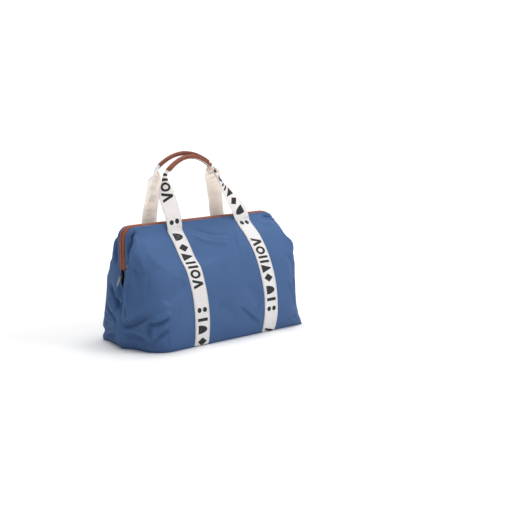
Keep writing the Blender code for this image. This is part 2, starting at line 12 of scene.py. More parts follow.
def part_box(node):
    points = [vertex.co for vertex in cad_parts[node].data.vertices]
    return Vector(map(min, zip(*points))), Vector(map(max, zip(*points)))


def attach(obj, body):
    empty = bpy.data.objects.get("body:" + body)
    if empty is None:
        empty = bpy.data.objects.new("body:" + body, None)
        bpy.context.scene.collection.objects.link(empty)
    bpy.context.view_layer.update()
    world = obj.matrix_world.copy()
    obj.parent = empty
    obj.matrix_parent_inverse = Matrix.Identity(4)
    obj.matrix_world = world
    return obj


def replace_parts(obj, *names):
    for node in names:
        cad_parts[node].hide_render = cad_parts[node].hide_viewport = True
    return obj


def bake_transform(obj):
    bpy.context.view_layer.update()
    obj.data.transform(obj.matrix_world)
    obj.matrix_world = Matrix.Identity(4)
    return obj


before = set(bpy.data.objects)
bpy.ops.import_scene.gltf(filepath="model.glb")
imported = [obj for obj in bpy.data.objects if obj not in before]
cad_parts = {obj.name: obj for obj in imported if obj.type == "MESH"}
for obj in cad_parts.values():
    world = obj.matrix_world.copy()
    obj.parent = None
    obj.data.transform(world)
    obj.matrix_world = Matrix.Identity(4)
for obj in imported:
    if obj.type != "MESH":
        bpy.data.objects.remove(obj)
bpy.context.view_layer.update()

FRONT, REAR = -1, 1
LEFT, RIGHT = -1, 1
SIDES = (("front", FRONT), ("rear", REAR))

# ---------------------------------------------------------------- main sizes
# The mouth's are read from the frame. The others repeat the part's own.
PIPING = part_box("front_piping")
PIPING_R = 0.0045
MOUTH_X = (PIPING[0][0] + PIPING[1][0]) / 2
MOUTH_HALF = (PIPING[1][0] - PIPING[0][0]) / 2 - PIPING_R
MOUTH_TOP = PIPING[1][2] - PIPING_R
MOUTH_CORNER = 0.03
PIPING_FOOT = PIPING[0][2]
BASE_TOP = 0.0024

WEB_WIDTH, WEB_THICK = 0.05, 0.0016
HANDLE_AXIS_Y, HANDLE_AXIS_Z = 0.031, 0.312


# ---------------------------------------------------------------- small numeric helpers
def smooth(t):
    t = np.clip(t, 0.0, 1.0)
    return t * t * (3 - 2 * t)


def spline(knots, values, at):
    """Catmull-Rom through values (any shape after the first axis) at uneven knots."""
    knots, values, at = np.asarray(knots, float), np.asarray(values, float), np.asarray(at, float)
    slopes = np.gradient(values, knots, axis=0)
    k = np.clip(np.searchsorted(knots, at) - 1, 0, len(knots) - 2)
    h = knots[k + 1] - knots[k]
    t = (at - knots[k]) / h
    extra = (1,) * (values.ndim - 1)
    t, h = t.reshape(-1, *extra), h.reshape(-1, *extra)
    return (
        (2 * t**3 - 3 * t**2 + 1) * values[k]
        + (t**3 - 2 * t**2 + t) * h * slopes[k]
        + (-2 * t**3 + 3 * t**2) * values[k + 1]
        + (t**3 - t**2) * h * slopes[k + 1]
    )


def lattice_noise(points, cell, seed):
    """Smooth noise from -1 to 1 over points, from random values on a cubic lattice."""
    rng = np.random.default_rng(seed)
    table = rng.uniform(-1, 1, (16, 16, 16))
    place = np.asarray(points) / cell
    low = np.floor(place).astype(int)
    part = smooth(place - low)
    total = np.zeros(len(place))
    for dx in (0, 1):
        for dy in (0, 1):
            for dz in (0, 1):
                weight = np.ones(len(place))
                for axis, step in enumerate((dx, dy, dz)):
                    weight *= part[:, axis] if step else 1 - part[:, axis]
                index = (low + (dx, dy, dz)) % 16
                total += weight * table[index[:, 0], index[:, 1], index[:, 2]]
    return total


def unit(vectors):
    """Vectors along the last axis, made one long."""
    return vectors / np.maximum(np.linalg.norm(vectors, axis=-1, keepdims=True), 1e-12)


def run(path):
    """How far along a line each of its points is."""
    return np.concatenate([[0], np.cumsum(np.linalg.norm(np.diff(path, axis=0), axis=1))])


def mean_run(rows):
    """How far up a surface each row is, averaged over the columns."""
    return np.concatenate([[0], np.cumsum(np.linalg.norm(np.diff(rows, axis=0), axis=2).mean(axis=1))])


def points_at(at, steps, path):
    """Points part way along a line, whose own points are at the given steps."""
    return np.stack([np.interp(at, steps, path[:, k]) for k in range(3)], axis=1)


def from_ends(count):
    """How many places each of a row is from the nearer end."""
    return np.minimum(np.arange(count), count - 1 - np.arange(count))


def ring_angles(sides):
    return np.linspace(0, 2 * math.pi, sides, endpoint=False)


def relax(values, passes):
    """Neighbours along the first axis averaged, with both ends kept."""
    for _ in range(passes):
        values[1:-1] = (values[:-2] + 2 * values[1:-1] + values[2:]) / 4
    return values


# ---------------------------------------------------------------- mesh helpers
def mesh_object(name, points, faces, uvs=None, smooth_shaded=True):
    mesh = bpy.data.meshes.new(name)
    mesh.from_pydata([tuple(map(float, p)) for p in points], [], [tuple(map(int, f)) for f in faces])
    mesh.update()
    if uvs is not None:
        layer = mesh.uv_layers.new(name="cloth")
        corners = np.empty(len(mesh.loops), int)
        mesh.loops.foreach_get("vertex_index", corners)
        layer.data.foreach_set("uv", np.asarray(uvs, np.float32)[corners].ravel())
    if smooth_shaded:
        mesh.shade_smooth()
    made = bpy.data.objects.new(name, mesh)
    bpy.context.scene.collection.objects.link(made)
    return made


def grid_faces(rows, columns, ring=False, flip=False):
    faces = []
    for r in range(rows - 1):
        for c in range(columns if ring else columns - 1):
            a, b = r * columns + c, r * columns + (c + 1) % columns
            face = (a, b, b + columns, a + columns)
            faces.append(face[::-1] if flip else face)
    return faces


def grid_object(name, rows, ring=False, flip=False, uvs=None):
    """A surface from rows of points. A ring's columns close on themselves."""
    rows = np.asarray(rows)
    count, columns = rows.shape[:2]
    points = rows.reshape(-1, 3)
    if uvs is None:
        uvs = np.stack(np.meshgrid(mean_run(rows.swapaxes(0, 1)), mean_run(rows)), axis=-1)
    return mesh_object(name, points, grid_faces(count, columns, ring, flip), uvs.reshape(-1, 2))


def apply_modifiers(obj):
    graph = bpy.context.evaluated_depsgraph_get()
    solid = obj.evaluated_get(graph)
    mesh = bpy.data.meshes.new_from_object(solid, preserve_all_data_layers=True, depsgraph=graph)
    mesh.name = obj.data.name
    obj.modifiers.clear()
    obj.data = mesh
    return obj


def thicken(obj, thickness, offset):
    solid = obj.modifiers.new("thickness", "SOLIDIFY")
    solid.thickness = thickness
    solid.offset = offset
    return apply_modifiers(obj)


def path_frames(path):
    """A path's tangents, and its normals in the plane of the arch, pointing out of it."""
    tangents = unit(np.gradient(path, axis=0))
    return tangents, -unit(np.cross((0.0, 1.0, 0.0), tangents))


def mend(obj, *holes):
    """Faces over the holes, each given as a loop of points, and all faces turned outwards."""
    shape = bmesh.new()
    shape.from_mesh(obj.data)
    shape.verts.ensure_lookup_table()
    for hole in holes:
        shape.faces.new([shape.verts[i] for i in hole])
    bmesh.ops.recalc_face_normals(shape, faces=shape.faces)
    shape.to_mesh(obj.data)
    shape.free()
    if holes:
        obj.data.shade_smooth()


def fill_ends(obj, columns, rows):
    """Faces over the first and last rings of a tube."""
    mend(obj, range(columns)[::-1], range((rows - 1) * columns, rows * columns))


def oval(half_width, half_height, sides):
    turn = ring_angles(sides)
    return np.stack([half_width * np.cos(turn), half_height * np.sin(turn)], axis=1)


def resample(path, spacing):
    """The same line with its points evenly spaced."""
    steps = run(path)
    count = max(2, int(round(steps[-1] / spacing)) + 1)
    return points_at(np.linspace(0, steps[-1], count), steps, path)


def join(name, objects):
    """One object of several meshes, with the materials of each kept."""
    with bpy.context.temp_override(active_object=objects[0], selected_editable_objects=objects):
        bpy.ops.object.join()
    objects[0].name = name
    return objects[0]


# ---------------------------------------------------------------- materials
def shade(colour, factor):
    """A colour made darker or lighter."""
    return tuple(min(1.0, c * factor) for c in colour)


class Nodes:
    """A short way to write a material's node tree. Colours are three numbers."""

    def __init__(self, name):
        self.material = bpy.data.materials.new(name)
        self.material.use_nodes = True
        self.tree = self.material.node_tree
        self.shader = self.tree.nodes["Principled BSDF"]
        coordinates = self.add("ShaderNodeTexCoord").outputs
        self.uv, self.place = coordinates["UV"], coordinates["Object"]
        self.across, self.along, _ = self.add("ShaderNodeSeparateXYZ", {0: self.uv}).outputs

    def add(self, kind, inputs=None, **settings):
        node = self.tree.nodes.new(kind)
        for key, value in settings.items():
            setattr(node, key, value)
        for key, value in (inputs or {}).items():
            self.feed(node.inputs[key], value)
        return node

    def feed(self, socket, value):
        if isinstance(value, bpy.types.NodeSocket):
            self.tree.links.new(value, socket)
        elif socket.type == "RGBA":
            socket.default_value = (*value, 1)
        else:
            socket.default_value = value

    def math(self, operation, first, second=0.0):
        return self.add("ShaderNodeMath", {0: first, 1: second}, operation=operation).outputs[0]

    def times(self, first, second):
        return self.math("MULTIPLY", first, second)

    def wave(self, coordinate, pitch):
        """A sine wave along a coordinate."""
        return self.math("SINE", self.times(coordinate, 2 * math.pi / pitch))

    def noise(self, coordinates, scale, detail=2.0, roughness=0.5):
        inputs = {"Vector": coordinates, "Scale": scale, "Detail": detail, "Roughness": roughness}
        return self.add("ShaderNodeTexNoise", inputs).outputs["Fac"]

    def stretched(self, coordinates, scale):
        return self.add("ShaderNodeMapping", {"Vector": coordinates, "Scale": scale}).outputs[0]

    def mix(self, share, first, second):
        node = self.add("ShaderNodeMix", data_type="RGBA")
        self.feed(node.inputs["Factor"], share)
        self.feed(node.inputs[6], first)
        self.feed(node.inputs[7], second)
        return node.outputs[2]

    def ramp(self, value, low, high, to_low=0.0, to_high=1.0):
        inputs = {"Value": value, "From Min": low, "From Max": high, "To Min": to_low, "To Max": to_high}
        return self.add("ShaderNodeMapRange", inputs, clamp=True).outputs["Result"]

    def bump(self, height, distance, strength=1.0, normal=None):
        inputs = {"Height": height, "Distance": distance, "Strength": strength}
        if normal is not None:
            inputs["Normal"] = normal
        return self.add("ShaderNodeBump", inputs).outputs["Normal"]

    def weave(self, pitch):
        """Height of a plain weave: threads across and along, each passing over its neighbour in turn."""
        return self.times(self.wave(self.across, pitch), self.wave(self.along, pitch))

    def set(self, **values):
        for key, value in values.items():
            self.feed(self.shader.inputs[key.replace("_", " ")], value)
        return self.material


def canvas_material():
    """Blue polyester canvas with a soft peach finish and a faint sheen."""
    nodes = Nodes("canvas_blue")
    weave = nodes.weave(0.0011)
    slub = nodes.noise(nodes.stretched(nodes.uv, (1, 14, 1)), 160.0, 3.0)
    cloudy = nodes.noise(nodes.place, 9.0, 3.0)
    fine = nodes.noise(nodes.place, 700.0, 2.0, 0.7)
    base = nodes.mix(nodes.ramp(cloudy, 0.35, 0.65), (0.047, 0.106, 0.25), (0.055, 0.122, 0.28))
    base = nodes.mix(nodes.ramp(fine, 0.3, 0.72, 0.0, 0.55), base, (0.068, 0.142, 0.31))
    base = nodes.mix(nodes.ramp(weave, -1.0, 1.0, 0.0, 0.3), base, (0.034, 0.079, 0.196))
    base = nodes.mix(nodes.ramp(slub, 0.45, 0.8, 0.0, 0.25), base, (0.066, 0.136, 0.298))
    normal = nodes.bump(weave, 0.00022, 0.55)
    normal = nodes.bump(fine, 0.00025, 0.35, normal)
    rough = nodes.ramp(fine, 0.2, 0.8, 0.66, 0.84)
    return nodes.set(
        Base_Color=base, Roughness=rough, Normal=normal, Specular_IOR_Level=0.32,
        Sheen_Weight=0.1, Sheen_Roughness=0.4, Sheen_Tint=(0.62, 0.74, 0.95),
    )


def lining_material():
    """Smooth grey taffeta of the lining and the inner pockets."""
    nodes = Nodes("lining_grey")
    weave = nodes.weave(0.0007)
    cloudy = nodes.noise(nodes.place, 14.0, 2.0)
    base = nodes.mix(nodes.ramp(cloudy, 0.3, 0.7), (0.235, 0.245, 0.275), (0.3, 0.31, 0.34))
    base = nodes.mix(nodes.ramp(weave, -1.0, 1.0, 0.0, 0.25), base, (0.17, 0.18, 0.2))
    return nodes.set(
        Base_Color=base, Roughness=0.48, Normal=nodes.bump(weave, 0.00012, 0.5),
        Specular_IOR_Level=0.42, Sheen_Weight=0.15, Sheen_Roughness=0.3,
    )


WEB_RIB = 0.0016


def webbing_material(name, light, dark, fuzz=0.4, ghost=0.0, through=0.0):
    """Flat cotton webbing with fine ribs in a herringbone.

    Ghost is how far the print shows through from the other face, and through is how strongly the cloth
    glows by itself: a painted glow that stands in for the light that comes through the cloth.
    """
    nodes = Nodes(name)
    fold = nodes.math("PINGPONG", nodes.across, 0.0042)
    rib = nodes.wave(nodes.math("ADD", fold, nodes.along), WEB_RIB)
    thread = nodes.wave(nodes.across, 0.0009)
    height = nodes.math("ADD", nodes.times(rib, 0.7), nodes.times(thread, 0.3))
    fluff = nodes.noise(nodes.place, 900.0, 2.0, 0.7)
    cloudy = nodes.noise(nodes.place, 30.0, 3.0)
    base = nodes.mix(nodes.ramp(cloudy, 0.3, 0.7), dark, light)
    base = nodes.mix(nodes.ramp(height, -1.0, 0.2, 0.35, 0.0), base, shade(dark, 0.62))
    base = nodes.mix(nodes.ramp(fluff, 0.4, 0.8, 0.0, fuzz), base, (0.9, 0.86, 0.81))
    if ghost:
        middle = nodes.ramp(nodes.math("ABSOLUTE", nodes.across), 0.006, 0.017, 1.0, 0.0)
        seen = nodes.times(middle, nodes.ramp(nodes.wave(nodes.along, 0.0132), -0.4, 0.7))
        patchy = nodes.ramp(nodes.noise(nodes.place, 24.0), 0.42, 0.58, 0.2, 1.0)
        share = nodes.times(nodes.times(seen, patchy), ghost)
        base = nodes.mix(share, base, (0.42, 0.38, 0.35))
    normal = nodes.bump(height, 0.00028, 0.6)
    normal = nodes.bump(fluff, 0.0002, 0.3, normal)
    return nodes.set(
        Base_Color=base, Roughness=0.86, Normal=normal, Specular_IOR_Level=0.2,
        Sheen_Weight=0.18, Sheen_Roughness=0.6, Subsurface_Weight=0.55,
        Subsurface_Radius=(0.012, 0.009, 0.007), Subsurface_Scale=0.5,
        # painted glow: the webbing glows a little by itself, standing in for the light that comes through it
        Emission_Color=(1.0, 0.9, 0.82), Emission_Strength=through,
    )


def ink_material():
    """Soft-touch print on the webbing. The ribs still show through it."""
    nodes = Nodes("print_charcoal")
    rib = nodes.wave(nodes.along, WEB_RIB)
    speck = nodes.noise(nodes.place, 1100.0, 2.0, 0.7)
    base = nodes.mix(nodes.ramp(speck, 0.45, 0.85, 0.0, 0.5), (0.012, 0.012, 0.013), (0.06, 0.058, 0.056))
    normal = nodes.bump(rib, 0.0002, 0.5)
    return nodes.set(Base_Color=base, Roughness=0.62, Normal=normal, Specular_IOR_Level=0.35)


def leather_material(name, tone, grain=900.0):
    """Brown faux leather: a fine pebbled grain, a little darker between the pebbles."""
    nodes = Nodes(name)
    inputs = {"Vector": nodes.place, "Scale": grain, "Randomness": 0.9}
    cells = nodes.add("ShaderNodeTexVoronoi", inputs, feature="DISTANCE_TO_EDGE")
    pebble = nodes.ramp(cells.outputs["Distance"], 0.0, 0.25)
    blotch = nodes.noise(nodes.place, 46.0, 4.0, 0.6)
    wrinkle = nodes.noise(nodes.stretched(nodes.place, (3.5, 1, 1)), 60.0, 4.0)
    base = nodes.mix(nodes.ramp(blotch, 0.3, 0.7), shade(tone, 0.8), shade(tone, 1.18))
    base = nodes.mix(nodes.ramp(pebble, 0.0, 1.0, 0.3, 0.0), base, shade(tone, 0.45))
    normal = nodes.bump(pebble, 0.00012, 0.5)
    normal = nodes.bump(wrinkle, 0.0006, 0.2, normal)
    return nodes.set(
        Base_Color=base, Roughness=nodes.ramp(pebble, 0.0, 1.0, 0.66, 0.5), Normal=normal,
        Specular_IOR_Level=0.32,
    )


def metal_material(name, colour, roughness):
    """Metal brushed across its height, a little tarnished in patches."""
    nodes = Nodes(name)
    brushed = nodes.noise(nodes.stretched(nodes.place, (1, 1, 60)), 120.0, 3.0)
    tarnish = nodes.noise(nodes.place, 260.0, 3.0)
    base = nodes.mix(nodes.ramp(tarnish, 0.35, 0.75, 0.0, 0.5), colour, shade(colour, 0.6))
    rough = nodes.ramp(brushed, 0.2, 0.8, roughness - 0.08, roughness + 0.12)
    normal = nodes.bump(brushed, 0.00006, 0.3)
    return nodes.set(Base_Color=base, Metallic=1.0, Roughness=rough, Normal=normal)


def tape_material(name, colour):
    """Narrow black tape woven in a small herringbone."""
    nodes = Nodes(name)
    fold = nodes.math("PINGPONG", nodes.across, 0.0011)
    rib = nodes.wave(nodes.math("ADD", fold, nodes.along), 0.0012)
    lint = nodes.noise(nodes.place, 800.0, 2.0)
    base = nodes.mix(nodes.ramp(lint, 0.5, 0.8, 0.0, 0.6), colour, shade(colour, 2.4))
    normal = nodes.bump(rib, 0.00015, 0.6)
    return nodes.set(Base_Color=base, Roughness=0.8, Normal=normal, Specular_IOR_Level=0.3)


def plastic_material(name, colour, roughness):
    nodes = Nodes(name)
    speckle = nodes.noise(nodes.place, 900.0, 2.0, 0.6)
    base = nodes.mix(nodes.ramp(speckle, 0.35, 0.75), colour, shade(colour, 1.5))
    return nodes.set(Base_Color=base, Roughness=roughness, Normal=nodes.bump(speckle, 0.0002, 0.3))


def thread_material(name, colour):
    """Sewing thread, mottled as its twist is."""
    nodes = Nodes(name)
    twist = nodes.noise(nodes.place, 2400.0, 2.0)
    base = nodes.mix(nodes.ramp(twist, 0.3, 0.7), colour, shade(colour, 0.6))
    return nodes.set(Base_Color=base, Roughness=0.55, Normal=nodes.bump(twist, 0.0001, 0.5), Sheen_Weight=0.2)


def floor_material():
    """Matt white, with a glow that grows away from the middle so the floor runs into the white surround."""
    nodes = Nodes("studio_floor")
    mottled = nodes.noise(nodes.place, 2.0, 2.0)
    base = nodes.mix(nodes.ramp(mottled, 0.3, 0.7), (0.9, 0.9, 0.9), (0.91, 0.91, 0.91))
    away = nodes.add("ShaderNodeVectorMath", {0: nodes.place}, operation="LENGTH").outputs["Value"]
    glow = nodes.ramp(away, 0.55, 1.8, 0.0, 0.6)
    return nodes.set(
        Base_Color=base, Roughness=0.9, Specular_IOR_Level=0.1,
        Emission_Color=(1, 1, 1), Emission_Strength=glow,
    )


CANVAS = canvas_material()
LINING = lining_material()
WEBBING = webbing_material("webbing_cream", (0.945, 0.862, 0.842), (0.905, 0.815, 0.792))
# Both reverse faces carry a painted glow through their through values, so they look lit from behind.
WEBBING_GHOST = webbing_material(
    "webbing_reverse", (0.93, 0.85, 0.77), (0.89, 0.79, 0.7), ghost=0.4, through=0.14
)
# The inner face where the webbing is rolled up, coloured orange.
WEBBING_BACK = webbing_material(
    "webbing_orange_inside", (0.86, 0.56, 0.33), (0.8, 0.47, 0.25), fuzz=0.1, through=0.08
)
INK = ink_material()
PIPING_LEATHER = leather_material("piping_leather", (0.3, 0.086, 0.04))
GRIP_LEATHER = leather_material("grip_leather", (0.23, 0.064, 0.033), 780.0)
STEEL = metal_material("satin_steel", (0.55, 0.55, 0.57), 0.3)
GUNMETAL = metal_material("gunmetal", (0.05, 0.05, 0.055), 0.36)
TAPE = tape_material("zip_tape_black", (0.016, 0.016, 0.018))
FOAM = plastic_material("grip_foam", (0.55, 0.5, 0.45), 0.9)
BOARD = plastic_material("base_board_black", (0.02, 0.02, 0.022), 0.6)
ELASTIC = tape_material("covered_elastic", (0.022, 0.022, 0.026))
BLUE_THREAD = thread_material("thread_blue", (0.05, 0.11, 0.25))
BROWN_THREAD = thread_material("thread_brown", (0.33, 0.15, 0.085))
CREAM_THREAD = thread_material("thread_cream", (0.7, 0.64, 0.58))


def paint(obj, *materials):
    obj.data.materials.clear()
    for material in materials:
        obj.data.materials.append(material)
    return obj


# ---------------------------------------------------------------- the canvas shell
# Heights of the outlines from the base seam to just under the mouth, and what the outline is at each.
HEIGHTS = (0.0024, 0.014, 0.03, 0.05, 0.072, 0.095, 0.118, 0.14, 0.16, 0.178, 0.1965, 0.205)
HALF_DEPTHS = {
    (FRONT, LEFT): (0.119, 0.1225, 0.1275, 0.131, 0.1325, 0.133, 0.13, 0.1215, 0.113, 0.103, 0.0925, 0.088),
    (FRONT, RIGHT): (0.1205, 0.1265, 0.1325, 0.1375, 0.14, 0.14, 0.137, 0.132, 0.1265, 0.1215, 0.116, 0.113),
    (REAR, LEFT): (0.1225, 0.1265, 0.1325, 0.1375, 0.139, 0.138, 0.135, 0.131, 0.125, 0.117, 0.1065, 0.1015),
    (REAR, RIGHT): (0.119, 0.1225, 0.1275, 0.131, 0.1325, 0.133, 0.13, 0.125, 0.119, 0.111, 0.101, 0.095),
}
END_LEFT = (0.264, 0.266, 0.271, 0.274, 0.273, 0.271, 0.268, 0.266, 0.266, 0.268, 0.268, 0.268)
END_RIGHT = (0.268, 0.263, 0.259, 0.259, 0.258, 0.256, 0.2545, 0.254, 0.2535, 0.2535, 0.253, 0.253)
SEAM_LEFT = (0.286, 0.293, 0.299, 0.301, 0.3, 0.296, 0.291, 0.286, 0.2825, 0.28, 0.278, 0.2775)
SEAM_RIGHT = (0.288, 0.292, 0.292, 0.289, 0.284, 0.278, 0.271, 0.264, 0.259, 0.255, 0.2525, 0.252)
CORNERS = {
    (FRONT, LEFT): (0.06, 0.062, 0.064, 0.064, 0.062, 0.058, 0.054, 0.05, 0.046, 0.042, 0.036, 0.034),
    (FRONT, RIGHT): (0.008, 0.018, 0.04, 0.056, 0.062, 0.06, 0.054, 0.048, 0.04, 0.032, 0.026, 0.022),
    (REAR, LEFT): (0.008, 0.016, 0.036, 0.054, 0.062, 0.062, 0.056, 0.05, 0.044, 0.039, 0.034, 0.032),
    (REAR, RIGHT): (0.012, 0.022, 0.042, 0.056, 0.062, 0.06, 0.056, 0.05, 0.044, 0.038, 0.032, 0.028),
}
SLOT_Z = (0.165, 0.174)  # the end seam opens between these heights for the zip's foot
SLOT_HALF, SEAM_HALF, LEAST_CORNER = 0.0066, 0.0006, 0.008
# The upper panel's half depth between the hinge and the mouth.
UPPER_HEIGHTS = (0.205, 0.222, 0.238, 0.254, 0.27, 0.285, 0.3, 0.318)
UPPER_DEPTHS = {
    (FRONT, LEFT): (0.088, 0.0745, 0.064, 0.054, 0.044, 0.0345, 0.027, 0.0236),
    (FRONT, RIGHT): (0.113, 0.101, 0.088, 0.074, 0.061, 0.048, 0.035, 0.0236),
    (REAR, LEFT): (0.1015, 0.0925, 0.0825, 0.0715, 0.06, 0.048, 0.035, 0.0236),
    (REAR, RIGHT): (0.095, 0.081, 0.069, 0.057, 0.046, 0.036, 0.028, 0.0236),
}
PANEL_EDGE_Y, PANEL_EDGE_INSET, HEM_FOOT = 0.0228, 0.0018, 0.2235
END_COLUMNS, CORNER_COLUMNS, FRONT_COLUMNS = 24, 18, 66
UPPER_ROWS = (0.16, 0.32, 0.54, 0.77, 1.0)
SHOULDER_AT = 0.32  # how far up between the hinge and the mouth the shoulders stand out most
SHELL_ROWS = 62
STRAIGHT_HALF = 0.13  # over this much of either side of the middle, the left depths turn into the right ones


def column_shares():
    """How far each column is along its stretch: across an end, round a corner and along a long side."""
    end = np.linspace(0, 1, END_COLUMNS, endpoint=False)
    corner = np.linspace(0, 1, CORNER_COLUMNS, endpoint=False)
    front = np.linspace(0, 1, FRONT_COLUMNS)[:-1]
    return end, corner, front


def corner_points(end_x, seam_x, depth, radius, seam_half):
    """A quarter of an outline, from the end seam to the long side, with x as a distance from the middle."""
    end, corner, _ = column_shares()
    turn_y = depth - radius
    ends = np.stack(
        [end_x + (seam_x - end_x) * (1 - end) ** 2, seam_half + (turn_y - seam_half) * end], axis=1
    )
    angle = np.append(corner, 1.0) * math.pi / 2
    bends = np.stack([end_x - radius + radius * np.cos(angle), turn_y + radius * np.sin(angle)], axis=1)
    return np.concatenate([ends, bends])


def outline(z, side, inset=0.0, end_inset=0.0):
    """The shell's outline at a height, from the left end seam round the long side to the right end seam."""
    def at(table, less=inset):
        return float(np.interp(z, HEIGHTS, table)) - less

    seam_half = float(np.interp(z, SLOT_Z, (SEAM_HALF, SLOT_HALF)))
    seam_left, seam_right = at(SEAM_LEFT, end_inset), at(SEAM_RIGHT, end_inset)
    end_left, end_right = min(at(END_LEFT), seam_left), min(at(END_RIGHT), seam_right)
    left, right = (
        corner_points(
            end_x, seam_x, at(HALF_DEPTHS[side, end]), max(LEAST_CORNER, at(CORNERS[side, end])), seam_half
        )
        for end, end_x, seam_x in ((LEFT, end_left, seam_left), (RIGHT, end_right, seam_right))
    )
    left[:, 0] *= -1
    share = column_shares()[2][1:]
    middle = left[-1] + (right[-1] - left[-1]) * share[:, None]
    middle[:, 1] = left[-1, 1] + (right[-1, 1] - left[-1, 1]) * smooth(share)
    flat = np.concatenate([left, middle, right[::-1]])
    return np.column_stack([flat[:, 0], side * flat[:, 1], np.full(len(flat), z)])


def mouth_line(inset, y, foot, legs=END_COLUMNS, corners=CORNER_COLUMNS, bar=FRONT_COLUMNS):
    """The upside-down U of a bow, from its left foot over the top bar to its right foot."""
    half, top, radius = MOUTH_HALF - inset, MOUTH_TOP - inset, MOUTH_CORNER - inset
    leg_top = top - radius
    leg = np.linspace(0, 1, legs, endpoint=False)
    angle = np.append(np.linspace(0, 1, corners, endpoint=False), 1.0) * math.pi / 2
    quarter = np.concatenate(
        [
            np.stack([np.full(legs, half), foot + (leg_top - foot) * leg], axis=1),
            np.stack([half - radius + radius * np.cos(angle), leg_top + radius * np.sin(angle)], axis=1),
        ]
    )
    left = quarter * (-1, 1)
    share = np.linspace(0, 1, bar)[1:-1]
    middle = left[-1] + (quarter[-1] - left[-1]) * share[:, None]
    flat = np.concatenate([left, middle, quarter[::-1]])
    return np.column_stack([flat[:, 0] + MOUTH_X, np.full(len(flat), y), flat[:, 1]])


def shoulder(columns):
    """1 at the middle of each rounded corner, 0 on the long side and at the end seams."""
    middle = END_COLUMNS + CORNER_COLUMNS * 0.45
    return smooth(1 - np.abs(from_ends(columns) - middle) / (CORNER_COLUMNS * 0.85))


def long_side(columns):
    """1 on the long side, fading to 0 round the corners."""
    return smooth((from_ends(columns) - END_COLUMNS * 0.9) / CORNER_COLUMNS)


# How far each shoulder stands out at its fullest, endways and away from the middle.
SHOULDER_FLARE = {
    (FRONT, LEFT): (0.006, 0.006), (FRONT, RIGHT): (0.01, 0.0075), (REAR, LEFT): (-0.001, -0.002),
    (REAR, RIGHT): (0.01, 0.008),
}


def shell_rows(side, inset=0.0, end_inset=0.0, edge_y=PANEL_EDGE_Y, edge_inset=PANEL_EDGE_INSET):
    """The shell's surface, or the lining's further in, as rows of points from the base seam to the bow.

    Also how far up it the hinge line is, as a share.
    """
    low = [outline(z, side, inset, end_inset) for z in HEIGHTS]
    top = mouth_line(edge_inset, side * edge_y, HEM_FOOT)
    columns = len(top)
    start = low[-1]
    along = smooth((top[:, 0] / STRAIGHT_HALF + 1) / 2)
    right_half = np.arange(columns) > columns / 2
    rows = list(low)
    for t in UPPER_ROWS:
        row = start + (top - start) * t
        if t < 1:
            left, right = (
                np.interp(row[:, 2], UPPER_HEIGHTS, UPPER_DEPTHS[side, end]) for end in (LEFT, RIGHT)
            )
            wanted = side * (left + (right - left) * along - inset)
            row[:, 1] += (wanted - row[:, 1]) * long_side(columns)
            flare = shoulder(columns) * np.interp(t, (0, SHOULDER_AT, 1), (0, 1, 0))
            flares = SHOULDER_FLARE[side, RIGHT], SHOULDER_FLARE[side, LEFT]
            out, deep = np.where(right_half[:, None], *flares).T
            row[:, 0] += np.where(right_half, out, -out) * flare
            row[:, 1] += side * deep * flare
        rows.append(row)
    rows = np.asarray(rows)
    steps = mean_run(rows)
    at = np.linspace(0, steps[-1], SHELL_ROWS)
    return spline(steps, rows, at), steps[len(HEIGHTS) - 1] / steps[-1]


SIM_FRAMES, MOST_DRAPE = 18, 0.009
CLOTH = {
    "quality": 6, "mass": 0.05, "air_damping": 2.0, "pin_stiffness": 2.0,
    "tension_stiffness": 25, "compression_stiffness": 25, "shear_stiffness": 10, "bending_stiffness": 1.2,
    "tension_damping": 8, "compression_damping": 8, "shear_damping": 8, "bending_damping": 1.0,
    "vertex_group_mass": "pins", "vertex_group_shrink": "loose", "shrink_min": 0.0, "shrink_max": -0.018,
    "use_pressure": True, "uniform_pressure_force": 24.0,
}


def build_shell_mesh():
    """Both halves' points and faces, their grid, and the share of each one's height below the hinges."""
    pieces, hinge_rows = zip(*(shell_rows(side) for _, side in SIDES))
    rows, columns = pieces[0].shape[:2]
    points = np.concatenate([p.reshape(-1, 3) for p in pieces])
    faces = grid_faces(rows, columns) + [
        tuple(i + rows * columns for i in face) for face in grid_faces(rows, columns, flip=True)
    ]
    return points, faces, rows, columns, hinge_rows


def slack(points):
    """Rough unevenness of a packed soft bag, which the simulation turns into natural folds."""
    return lattice_noise(points, 0.11, 3) * 0.0024 + lattice_noise(points, 0.045, 7) * 0.0012


